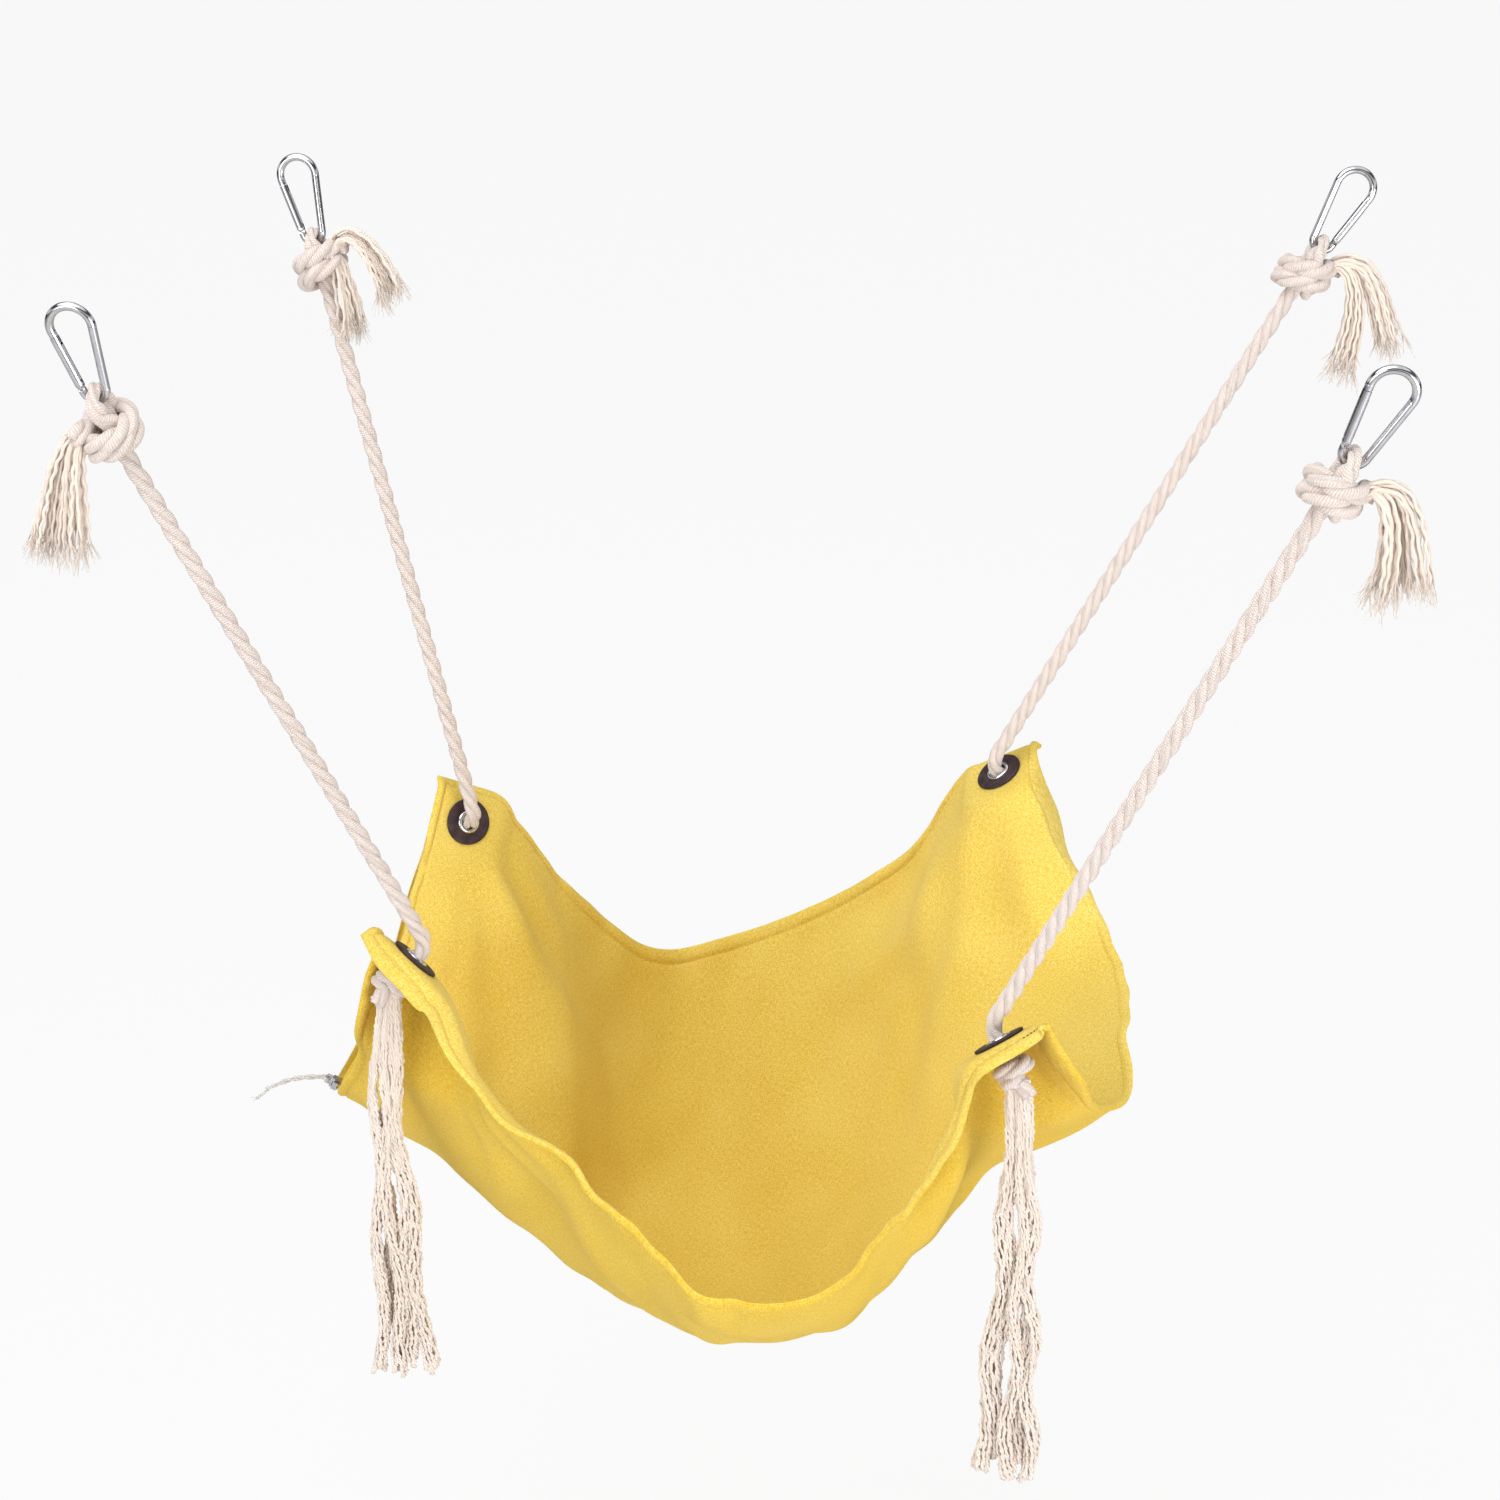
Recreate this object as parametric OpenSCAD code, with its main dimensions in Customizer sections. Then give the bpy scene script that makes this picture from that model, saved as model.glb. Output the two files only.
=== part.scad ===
// Hanging pet bed: a two-layer cloth sling on four twisted cotton ropes, each clipped by a snap hook.
// Millimetres, +Z up, -Y towards the front. The origin is the centre of the four hook bearing points,
// which lie in one level plane. Corners run front left, rear left, rear right, front right.

/* [Hanging] */
// Half the spread of the hooks from left to right
hang_half_w = 287; // [250:1:330]
// Half the spread of the hooks from front to rear
hang_half_d = 157; // [130:1:190]
// Drop from the hooks to the eyelets
hang_drop = 356; // [320:1:420]

/* [Cloth] */
// Half the spread of the eyelets from left to right
bed_half_w = 153; // [140:1:170]
// Half the spread of the eyelets from front to rear
bed_half_d = 108; // [98:1:120]
// Dip of the front edge below the eyelets
edge_sag = 163; // [140:1:185]
// Depth of the belly below the edges
belly_h = 90; // [75:1:105]
// Thickness of one cloth panel
panel_t = 1.2; // [0.8:0.1:2]
// Air between the two panels
panel_gap = 0.4; // [0.3:0.1:0.8]
// Distance of an eyelet from both edges of its corner
eyelet_inset = 23; // [21:0.5:27]
// Reach of the flat ear that an eyelet pulls up
ear_reach = 46; // [42:1:56]
// Reach of the straight sheet that hangs from a rear ear
sheet_reach = 80; // [70:1:95]
// Height of the folds that run from the eyelets into the bed
fold_h = 7; // [0:0.5:9]
// Half width of a fold
fold_half_w = 20; // [14:1:28]
// Height of the broad ridge below the left rear ear
ridge_h = 22; // [10:1:24]
// Half width of a ridge
ridge_half_w = 32; // [26:1:36]

/* [Eyelets] */
// Diameter of a leather ring
ring_d = 27; // [24:0.5:29]
// Thickness of a leather ring
ring_t = 1.5; // [1:0.1:2]
// Hole through an eyelet
eyelet_hole_d = 9.2; // [9:0.1:10]
// Wall of an eyelet's barrel
eyelet_wall = 0.5; // [0.4:0.1:0.8]
// Diameter of an eyelet's flange and washer
flange_d = 13.5; // [13:0.5:16]
// Thickness of an eyelet's flange and washer
flange_t = 0.8; // [0.6:0.1:1.2]

/* [Ropes] */
// Diameter of the ropes
rope_d = 8.5; // [7:0.1:8.6]
// Radius of the rope's bend where it leaves an eyelet
rope_bend_r = 9; // [7.5:0.5:12]
// Outer diameter of the knot below a hook
knot_d = 27; // [25:0.5:32]
// Height of the knot below a hook
knot_h = 22; // [20:0.5:26]
// Outer diameter of the stopper knot below an eyelet
stopper_d = 22; // [20:0.5:24]
// Height of the stopper knot
stopper_h = 17; // [15:0.5:22]
// Length of the frayed tail at a hook
upper_tail_l = 62; // [50:1:75]
// Spread of the frayed tail at a hook
upper_tail_w = 26; // [18:1:32]
// Length of the loose tail under an eyelet
lower_tail_l = 242; // [200:1:260]
// Spread of the loose tail under an eyelet
lower_tail_w = 40; // [28:1:46]

/* [Snap hooks] */
// Overall length of a hook
hook_l = 50; // [46:0.5:56]
// Diameter of the hook's wire
wire_d = 4; // [3.6:0.1:4.4]
// Outer width of the hook's wide bow
bow_w = 23.5; // [21:0.5:27]
// Outer width of the hook's narrow end
narrow_w = 14.8; // [14.4:0.1:16]
// Diameter of the gate
gate_d = 4.4; // [4:0.1:4.8]
// Diameter of the gate's pin
pin_d = 1.5; // [1.2:0.1:1.8]

/* [Zip] */
// Width of the zip's tape outside the cloth
tape_w = 2.5; // [2:0.1:4]
// Width of the zip's closed chain
chain_w = 3; // [2.5:0.1:4]
// Thickness of the zip's chain
chain_t = 2; // [1.6:0.1:2.6]
// Length of the zip's slider
slider_l = 8; // [7:0.5:9]
// Length of the cord pull
pull_l = 40; // [25:1:50]
// How far the cord pull hangs below the zip's plane, in degrees
pull_droop = 43; // [0:1:60]

/* [Hidden] */
$fn = 48;
CORNERS = ["front_left", "rear_left", "rear_right", "front_right"];
CORNER_NODES = ["leather_ring_top", "leather_ring_bottom", "eyelet", "eyelet_washer", "rope", "upper_knot",
    "upper_tail", "stopper_knot", "lower_tail", "carabiner", "gate", "gate_pin", "gate_spring"];

// Cuts run past the faces that they open by this much
overrun = 1;
// Gap between seated faces of one body
seat_gap = 0.1;
// Gap between pieces that move past each other
run_gap = 0.3;
// Lengths of bent bar meet in balls, this much wider than the bar, and stop this much short of them
bead_share = 1.02;
bead_short_share = 0.05;

// Where the hooks bear, as shares of the hooks' half spreads
hook_shares = [[-0.99, -0.91], [-0.91, 0.89], [1.07, 1.13], [1.02, -1.05]];
// Where the eyelets lie, as shares of the eyelets' half spreads and of the front edge's dip
eyelet_shares = [[-1.05, -0.85, 0], [-1.14, 0.86, 0.1], [0.87, 1.09, -0.13], [0.935, -1.185, 0.02]];
// Tilt of each eyelet's axis from upright, its heading, and the cloth's turn about it
ear_angles = [[49.5, 34.6, -55], [67, -47.6, 60], [32.7, -158.2, 155], [41.5, 142.4, -111.6]];
// Bend of the strip between each ring and the front or rear edge
ear_bends = [65, 40, 60, 60];
// Each ear's reach and its sheet's reach, as shares of the longest
ear_reach_shares = [1, 0.78, 0.74, 1];
sheet_reach_shares = [0.88, 1, 0.94, 0.88];
// Where a sheet leaves its ear, as a share of the ring's seat, and how much of it is straight
root_share = 1.25;
straight_share = 0.4;
// An ear reaches further towards the edges, where lengths count for this share
outer_share = 0.5;
// Which way the cloth's corner lies from its eyelet, along the width and the depth
corner_signs = [[-1, -1], [-1, 1], [1, 1], [1, -1]];
// Lean of each hook away from its rope's line
hook_leans = [8, 0, 0, 0];
// Side of each hook that its gate is on
gate_sides = [-1, -1, 1, -1];
// Where each hook's frayed tail ends, as shares of the tail's length
upper_tail_shares = [[-0.5, -0.1, -0.86], [0.66, -0.3, -0.65], [0.36, -0.1, -0.92], [0.56, -0.1, -0.82]];

// Points between the corners along each edge, as shares of the eyelets' half spreads and the dip
front_shares = [[-0.88, -1.11, 0.11], [-0.59, -1.17, 0.42], [-0.3, -1.22, 0.74], [0.03, -1.28, 1],
    [0.43, -1.32, 0.9], [0.65, -1.35, 0.54], [0.82, -1.37, 0.15]];
rear_shares = [[-0.99, 1.19, 0.28], [-0.77, 1.39, 0.59], [-0.52, 1.6, 0.87], [-0.16, 1.75, 0.83],
    [0.2, 1.68, 0.63], [0.5, 1.51, 0.36], [0.73, 1.38, 0.05]];
left_shares = [[-1.22, -0.89, 0.14], [-1.29, -0.71, 0.4], [-1.41, -0.51, 0.64], [-1.46, -0.19, 0.77],
    [-1.42, 0.24, 0.7], [-1.39, 0.6, 0.53], [-1.34, 0.87, 0.31]];
right_shares = [[1.19, -1.19, 0.11], [1.26, -0.92, 0.33], [1.39, -0.56, 0.46], [1.39, -0.15, 0.38],
    [1.35, 0.24, 0.325], [1.256, 0.61, 0.2], [1.11, 0.98, 0.03]];

// Each fold's or ridge's two ends on the flat cloth, as shares of its width and depth, and its height's share
fold_shares = [[0.95, 0.93, 0.66, 0.52, 1], [0.05, 0.92, 0.24, 0.52, -0.8], [0.93, 0.08, 0.7, 0.18, -1],
    [0.07, 0.1, 0.38, 0.26, 0.8]];
ridge_shares = [[0, 1, 0.36, 0.64, 1], [1, 1, 0.7, 0.7, 0.55]];
// How fast the side edges' droop fades towards the middle, and how full the belly is
droop_fade_share = 2.5;
belly_full_share = 0.8;
// Steps of the cloth's mesh between the ears
width_steps = 20;
depth_steps = 14;
// Turn of the eyelets' holes, so that a hole's seam stays off the mesh lines
hole_turn = 20;
// Rows of the mesh that the zip runs between
zip_first_row = 9;
zip_last_row = 17;

function unit(v) = v / norm(v);
function ease(u) = let (c = min(max(u, 0), 1)) c * c * (3 - 2 * c);
function sum_of(list, i = 0) = i == len(list) - 1 ? list[i] : list[i] + sum_of(list, i + 1);
function path_length(points) = sum_of([for (i = [1:len(points) - 1]) norm(points[i] - points[i - 1])]);

// Point at share u along a smooth curve through the given points
function curve_point(points, u) =
    let (
        last = len(points) - 1,
        i = max(min(floor(u * last), last - 1), 0),
        f = u * last - i,
        b = points[i],
        c = points[i + 1],
        a = i > 0 ? points[i - 1] : 2 * b - c,
        d = i + 2 <= last ? points[i + 2] : 2 * c - b
    )
    (2 * b + (c - a) * f + (2 * a - 5 * b + 4 * c - d) * f * f + (3 * b - a - 3 * c + d) * f * f * f) / 2;

// Axes of an ear: along the cloth's width, along its depth, and the eyelet's axis towards the inside
function turned(v, angles) =
    let (
        p = [v.x * cos(angles.z) - v.y * sin(angles.z), v.x * sin(angles.z) + v.y * cos(angles.z), v.z],
        q = [p.x * cos(angles.x) + p.z * sin(angles.x), p.y, p.z * cos(angles.x) - p.x * sin(angles.x)]
    )
    [q.x * cos(angles.y) - q.y * sin(angles.y), q.x * sin(angles.y) + q.y * cos(angles.y), q.z];
ear_axes = [for (angles = ear_angles)
    [turned([1, 0, 0], angles), turned([0, 1, 0], angles), turned([0, 0, 1], angles)]];
function bed_place(share) = [share.x * bed_half_w, share.y * bed_half_d, -hang_drop - share.z * edge_sag];
eyelets = [for (share = eyelet_shares) bed_place(share)];
hooks = [for (share = hook_shares) [share.x * hang_half_w, share.y * hang_half_d, 0]];

// Half the side of the flat square that a ring seats on
ear_seat = ring_d / 2 + overrun;
// Point of an ear at a flat place from its eyelet. Past the ring, its front or rear strip bends down
function ear_point(i, off) =
    let (
        sign = corner_signs[i].y,
        extra = max(sign * off.y - ear_seat, 0),
        along = off.y - sign * extra * (1 - cos(ear_bends[i])),
        drop = extra * sin(ear_bends[i])
    )
    eyelets[i] + off.x * ear_axes[i][0] + along * ear_axes[i][1] - drop * ear_axes[i][2];
cloth_corners = [for (i = [0:3]) ear_point(i, eyelet_inset * corner_signs[i])];

// The four edges of the cloth, and the flat size that they give
function edge(from, shares, to) = concat([from], [for (share = shares) bed_place(share)], [to]);
front_edge = edge(cloth_corners[0], front_shares, cloth_corners[3]);
rear_edge = edge(cloth_corners[1], rear_shares, cloth_corners[2]);
left_edge = edge(cloth_corners[0], left_shares, cloth_corners[1]);
right_edge = edge(cloth_corners[3], right_shares, cloth_corners[2]);
function edge_length(points) =
    path_length([for (k = [0:4 * len(points)]) curve_point(points, k / (4 * len(points)))]);
cloth_w = edge_length(front_edge);
cloth_d = edge_length(left_edge);

ear_places = [for (signs = corner_signs)
    [signs.x < 0 ? eyelet_inset : cloth_w - eyelet_inset,
        signs.y < 0 ? eyelet_inset : cloth_d - eyelet_inset]];

// The cloth's middle surface at a flat place, as it would hang between its edges alone
function loft_point(s, t) =
    (1 - t) * curve_point(front_edge, s) + t * curve_point(rear_edge, s)
    + pow(max(1 - s, 0), droop_fade_share)
        * (curve_point(left_edge, t) - (1 - t) * cloth_corners[0] - t * cloth_corners[1])
    + pow(max(s, 0), droop_fade_share)
        * (curve_point(right_edge, t) - (1 - t) * cloth_corners[3] - t * cloth_corners[2])
    - [0, 0, belly_h * sin(180 * s) * pow(max(sin(180 * t), 0), belly_full_share)];
function fold_rise(flat, fold, height, half_w) =
    let (
        from = [fold[0] * cloth_w, fold[1] * cloth_d],
        run = [fold[2] * cloth_w, fold[3] * cloth_d] - from,
        along = min(max((flat - from) * run / (run * run), 0), 1),
        off = norm(flat - from - along * run) / half_w
    )
    fold[4] * height * 16 * pow(along * (1 - along), 2) * exp(-off * off);
function folded_point(flat) =
    let (
        base = loft_point(flat.x / cloth_w, flat.y / cloth_d),
        folds = [for (fold = fold_shares) fold_rise(flat, fold, fold_h, fold_half_w)],
        ridges = [for (ridge = ridge_shares) fold_rise(flat, ridge, ridge_h, ridge_half_w)]
    )
    base + (sum_of(folds) + sum_of(ridges)) * unit([0, 0, -hang_drop] - base);

// Near an ear the cloth hangs in a straight sheet from the ring's seat. Past the edges it ends at a margin
root_reach = ear_seat * root_share;
rim_margin = eyelet_inset + 2 * overrun;
least_off = overrun / 100;
function rim_reach(i, way) =
    let (
        wide = rim_margin + (way.x > 0 ? cloth_w - ear_places[i].x : ear_places[i].x),
        deep = rim_margin + (way.y > 0 ? cloth_d - ear_places[i].y : ear_places[i].y)
    )
    min(sheet_reach * sheet_reach_shares[i], wide / max(abs(way.x), least_off),
        deep / max(abs(way.y), least_off));
function sheet_pull(flat, i) =
    let (
        off = flat - ear_places[i],
        dist = max(norm(off), least_off),
        way = off / dist,
        reach = rim_reach(i, way),
        share = min(max((dist - root_reach) / (reach - root_reach), 0), 1),
        rim = folded_point(ear_places[i] + reach * way),
        root = ear_point(i, root_reach * way),
        weight = 1 - ease((share - straight_share) / (1 - straight_share))
    )
    weight * (root + share * (rim - root) - folded_point(flat));
function hung_point(flat) = folded_point(flat) + sum_of([for (i = [0:3])
    norm(flat - ear_places[i]) < sheet_reach ? sheet_pull(flat, i) : [0, 0, 0]]);
function ear_off(i, off) =
    let (
        across = -corner_signs[i].x * off.x,
        along = -corner_signs[i].y * off.y
    )
    norm([across > 0 ? across : outer_share * across, along > 0 ? along : outer_share * along]);
function ear_weight(i, off) =
    let (flat_off = ear_seat * sqrt(2))
    1 - ease((ear_off(i, off) - flat_off) / (ear_reach * ear_reach_shares[i] - flat_off));
function with_ears(point, flat, i = 0) =
    i == len(CORNERS) ? point
    : let (
        off = flat - ear_places[i],
        weight = ear_weight(i, off)
    )
    with_ears(point * (1 - weight) + ear_point(i, off) * weight, flat, i + 1);
function cloth_point(s, t) =
    let (flat = [s * cloth_w, t * cloth_d])
    with_ears(hung_point(flat), flat);

// Mesh lines: a flat square at each eyelet and even steps between
function mesh_lines(total, steps) =
    let (near = eyelet_inset + ear_seat)
    concat([0, eyelet_inset - ear_seat, eyelet_inset],
        [for (k = [0:steps]) near + k * (total - 2 * near) / steps],
        [total - eyelet_inset, total - eyelet_inset + ear_seat, total]) / total;
width_lines = mesh_lines(cloth_w, width_steps);
depth_lines = mesh_lines(cloth_d, depth_steps);
columns = len(width_lines);
rows = len(depth_lines);
cloth_grid = [for (t = depth_lines) [for (s = width_lines) cloth_point(s, t)]];
cloth_normals = [for (j = [0:rows - 1]) [for (i = [0:columns - 1])
    unit(cross(cloth_grid[j][min(i + 1, columns - 1)] - cloth_grid[j][max(i - 1, 0)],
        cloth_grid[min(j + 1, rows - 1)][i] - cloth_grid[max(j - 1, 0)][i]))]];

// Faces of a solid between two layers of the mesh
function split(quad) = [[quad[0], quad[1], quad[2]], [quad[0], quad[2], quad[3]]];
function layer_index(i, j, k) = (k * rows + j) * columns + i;
layer_quads = concat(
    [for (j = [0:rows - 2]) for (i = [0:columns - 2])
        [layer_index(i, j, 1), layer_index(i, j + 1, 1),
            layer_index(i + 1, j + 1, 1), layer_index(i + 1, j, 1)]],
    [for (j = [0:rows - 2]) for (i = [0:columns - 2])
        [layer_index(i, j, 0), layer_index(i + 1, j, 0),
            layer_index(i + 1, j + 1, 0), layer_index(i, j + 1, 0)]],
    [for (i = [0:columns - 2])
        [layer_index(i, 0, 0), layer_index(i, 0, 1), layer_index(i + 1, 0, 1), layer_index(i + 1, 0, 0)]],
    [for (i = [0:columns - 2]) let (j = rows - 1)
        [layer_index(i + 1, j, 0), layer_index(i + 1, j, 1), layer_index(i, j, 1), layer_index(i, j, 0)]],
    [for (j = [0:rows - 2])
        [layer_index(0, j + 1, 0), layer_index(0, j + 1, 1), layer_index(0, j, 1), layer_index(0, j, 0)]],
    [for (j = [0:rows - 2]) let (i = columns - 1)
        [layer_index(i, j, 0), layer_index(i, j, 1), layer_index(i, j + 1, 1), layer_index(i, j + 1, 0)]]);
layer_faces = [for (quad = layer_quads) each split(quad)];

// Heights along an eyelet's axis, from the cloth's middle surface
panel_top = panel_gap / 2 + panel_t;
ring_low = panel_top + seat_gap;
ring_high = ring_low + ring_t;
flange_low = ring_high + seat_gap;
flange_high = flange_low + flange_t;
lip_t = flange_t / 2;
barrel_end = flange_high + seat_gap + lip_t;
barrel_d = eyelet_hole_d + 2 * eyelet_wall;
lip_d = barrel_d + 4 * eyelet_wall;
cloth_hole_d = barrel_d + 2 * run_gap;

// Frame of a hook: origin where it bears, its length along +Z and its flat side facing the front
function leaned(axis, side, lean) = unit(axis * cos(lean) + side * sin(lean));
hook_axes = [for (i = [0:3])
    let (
        line = unit(hooks[i] - eyelets[i]),
        up = leaned(line, unit(cross([0, 1, 0], line)), hook_leans[i]),
        side = unit(cross([0, 1, 0], up))
    )
    [side, cross(up, side), up]];

// A hook's wire, in its own frame
wire_r = wire_d / 2;
bow_r = (bow_w - wire_d) / 2;
narrow_r = (narrow_w - wire_d) / 2;
bow_z = wire_r - bow_r;
hook_low = wire_d - hook_l;
narrow_z = hook_low + wire_r + narrow_r;
leg_lean = asin((bow_r - narrow_r) / (bow_z - narrow_z));
leg_l = (bow_z - narrow_z) * cos(leg_lean);
// The gate lies along one leg: its pin and its free end, measured up that leg
gate_r = gate_d / 2;
tang_t = wire_d * 0.4;
tang_r = wire_r * 0.85;
gate_pin_z = wire_d;
stub_l = gate_pin_z - gate_r - run_gap;
nose_z = leg_l - wire_r;
gate_l = nose_z - run_gap - gate_pin_z;
fork_w = tang_t + 2 * run_gap;
fork_depth = wire_d;
pin_clear = 0.05;
pin_seat = 0.02;
spring_d = wire_d * 0.35;
spring_l = gate_l / 2;

// The rope's loop in the narrow end, and the knot under it
loop_r = narrow_r;
loop_d = 2 * (narrow_r - wire_r - run_gap);
knot_top = hook_low - 2 * run_gap;
knot_z = knot_top - knot_h / 2;
knot_wrap_r = (knot_d - rope_d) / 2;
knot_core_d = rope_d * 1.4;
stopper_top = -barrel_end - run_gap;
stopper_wrap_r = (stopper_d - rope_d) / 2;
wrap_tilt = 14;
knot_centres = [for (i = [0:3]) hooks[i] + knot_z * hook_axes[i][2]];

// The rope's way: up through the eyelet, round a bend and straight to the knot
bend_z = barrel_end + run_gap;
rope_axes = [for (i = [0:3])
    let (
        up = ear_axes[i][2],
        aim = knot_centres[i] - eyelets[i],
        side = unit(aim - (aim * up) * up)
    )
    [side, cross(up, side), up]];
rope_aims = [for (i = [0:3])
    let (aim = knot_centres[i] - eyelets[i])
    [aim * rope_axes[i][0] - rope_bend_r, aim * rope_axes[i][2] - bend_z]];
rope_turns = [for (aim = rope_aims) atan2(aim.x, aim.y) + asin(rope_bend_r / norm(aim))];
rope_straights = [for (aim = rope_aims) sqrt(aim * aim - rope_bend_r * rope_bend_r)];
rope_in_knot = knot_h / 3;

// Loose tails: rings of a few sides along a falling line
tail_sides = 8;
tail_rings = 7;
tail_depth_share = 0.5;

// Frame of the zip's first stretch, and what runs on it
edge_out = [for (j = [0:rows - 1]) unit(cloth_grid[j][0] - cloth_grid[j][1])];
tape_t = panel_t;
tape_in = run_gap;
chain_in = tape_in + tape_w;
chain_mid = chain_in + chain_w / 2;
zip_along = unit(cloth_grid[zip_first_row + 1][0] - cloth_grid[zip_first_row][0]);
zip_up = unit(cloth_normals[zip_first_row][0] - (cloth_normals[zip_first_row][0] * zip_along) * zip_along);
zip_out = cross(zip_up, zip_along);
zip_axes = [zip_out, zip_along, zip_up];
slider_wall = chain_t * 0.5;
slider_gap = 2 * run_gap;
slider_w = chain_w + 2 * slider_gap + slider_wall;
slider_t = chain_t + 2 * (slider_gap + slider_wall);
stop_l = chain_t;
slider_start = stop_l + 2 * run_gap;
zip_start = cloth_grid[zip_first_row][0] + chain_mid * zip_out;
bar_d = chain_t * 0.6;
pull_d = chain_t * 0.9;
pull_eye_d = bar_d + 2 * pull_d;
// The bar stands off far enough for the pull's eye to turn clear of the slider's side
bar_reach = pull_eye_d / 2 + run_gap;
pull_spread = pull_d * 2;

// Puts children into a frame given by its origin and axes
module in_frame(origin, axes) {
    multmatrix([
        [axes[0].x, axes[1].x, axes[2].x, origin.x],
        [axes[0].y, axes[1].y, axes[2].y, origin.y],
        [axes[0].z, axes[1].z, axes[2].z, origin.z],
        [0, 0, 0, 1]]) children();
}
module at_ear(i) in_frame(eyelets[i], ear_axes[i]) children();
module at_hook(i) in_frame(hooks[i], hook_axes[i]) children();
// The gate's leg of a hook, with +Z up the leg and +X towards the inside
module at_gate_leg(i) {
    at_hook(i) mirror([gate_sides[i] > 0 ? 1 : 0, 0, 0])
        translate([-narrow_r * cos(leg_lean), 0, narrow_z - narrow_r * sin(leg_lean)])
            rotate([0, -leg_lean, 0]) children();
}
module at_slider() in_frame(zip_start + (slider_start + slider_l / 2) * zip_along, zip_axes) children();

// An arc of round bar in the XZ plane about the origin
module bar_arc(radius, from, turn, d) {
    rotate([90, 0, 0]) rotate([0, 0, from]) rotate_extrude(angle = turn) translate([radius, 0]) circle(d = d);
}
// The same arc, a little short at both ends, with a ball at each end for the next length of bar to meet
module bead_arc(radius, from, turn, d) {
    short = bead_short_share * d / radius * 180 / PI;
    bar_arc(radius, from + short, turn - 2 * short, d);
    for (angle = [from, from + turn])
        translate([radius * cos(angle), 0, radius * sin(angle)]) sphere(d = d * bead_share);
}
// A round bar up from the origin, a little short at both ends
module short_bar(d, length) {
    translate([0, 0, bead_short_share * d]) cylinder(d = d, h = length - 2 * bead_short_share * d);
}
module wrap(radius, tilt) {
    rotate([tilt, tilt / 2, 0]) rotate_extrude() translate([radius, 0]) circle(d = rope_d);
}
module tube_ring(outer_d, inner_d, height) {
    difference() {
        cylinder(d = outer_d, h = height);
        translate([0, 0, -overrun]) cylinder(d = inner_d, h = height + 2 * overrun);
    }
}
// A solid through level rings about given centres, each with its half width and half depth
module ring_sweep(centres, halves) {
    count = len(centres);
    points = [for (k = [0:count - 1]) for (a = [0:tail_sides - 1])
        centres[k] + [halves[k].x * cos(360 * a / tail_sides), halves[k].y * sin(360 * a / tail_sides), 0]];
    walls = [for (k = [0:count - 2]) for (a = [0:tail_sides - 1])
        let (b = (a + 1) % tail_sides)
        each split([k * tail_sides + a, k * tail_sides + b,
            (k + 1) * tail_sides + b, (k + 1) * tail_sides + a])];
    top = [for (a = [1:tail_sides - 2]) [0, a + 1, a]];
    base = (count - 1) * tail_sides;
    low = [for (a = [1:tail_sides - 2]) [base, base + a, base + a + 1]];
    polyhedron(points = points, faces = concat(walls, top, low));
}
// A strip along the zip's rows, from one distance outside the cloth to another
module zip_strip(inner, outer, thick) {
    sections = [for (j = [zip_first_row:zip_last_row])
        let (
            out = j <= zip_first_row + 1 ? zip_out : edge_out[j],
            up = j <= zip_first_row + 1 ? zip_up : cloth_normals[j][0],
            p = cloth_grid[j][0]
        )
        [p + inner * out - thick / 2 * up, p + outer * out - thick / 2 * up,
            p + outer * out + thick / 2 * up, p + inner * out + thick / 2 * up]];
    count = len(sections);
    walls = [for (k = [0:count - 2]) for (a = [0:3])
        let (b = (a + 1) % 4, quad = [4 * k + a, 4 * k + 4 + a, 4 * k + 4 + b, 4 * k + b])
        // Opposite walls are split alike, so that strips side by side stay clear where they twist
        each split(a < 2 ? quad : [quad[1], quad[2], quad[3], quad[0]])];
    ends = concat(split([0, 1, 2, 3]), split([for (a = [3:-1:0]) 4 * (count - 1) + a]));
    polyhedron(points = [for (section = sections) each section], faces = concat(walls, ends));
}

module panel(low, high) {
    difference() {
        polyhedron(
            points = [for (offset = [low, high]) for (j = [0:rows - 1]) for (i = [0:columns - 1])
                cloth_grid[j][i] + offset * cloth_normals[j][i]],
            faces = layer_faces);
        for (i = [0:3]) at_ear(i) rotate([0, 0, hole_turn]) translate([0, 0, -ring_high])
            cylinder(d = cloth_hole_d, h = 2 * ring_high);
    }
}
module top_panel() color("gold") panel(panel_gap / 2, panel_top);
module bottom_panel() color("goldenrod") panel(-panel_top, -panel_gap / 2);

module leather_ring_top(i) {
    color("saddlebrown") at_ear(i) translate([0, 0, ring_low]) tube_ring(ring_d, cloth_hole_d, ring_t);
}
module leather_ring_bottom(i) {
    color("saddlebrown") at_ear(i) translate([0, 0, -ring_high]) tube_ring(ring_d, cloth_hole_d, ring_t);
}
// A flange with a rounded top, from the barrel's hole to the flange's rim
module domed_flange() {
    half_w = (flange_d - eyelet_hole_d) / 4;
    dome_r = (half_w * half_w + flange_t * flange_t) / (2 * flange_t);
    rotate_extrude() translate([eyelet_hole_d / 2 + half_w, 0]) intersection() {
        translate([0, flange_t - dome_r]) circle(r = dome_r);
        translate([-half_w, 0]) square([2 * half_w, flange_t + overrun]);
    }
}
// One flanged barrel through the stack, rolled over a washer underneath
module eyelet(i) {
    color("silver") at_ear(i) difference() {
        union() {
            translate([0, 0, -barrel_end]) cylinder(d = barrel_d, h = barrel_end + flange_low + flange_t / 4);
            translate([0, 0, flange_low]) domed_flange();
            translate([0, 0, -barrel_end]) cylinder(d = lip_d, h = lip_t);
        }
        translate([0, 0, -barrel_end - overrun])
            cylinder(d = eyelet_hole_d, h = barrel_end + flange_high + 2 * overrun);
    }
}
module eyelet_washer(i) {
    color("silver") at_ear(i) translate([0, 0, -flange_high])
        tube_ring(flange_d, barrel_d + 2 * seat_gap, flange_t);
}

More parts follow.
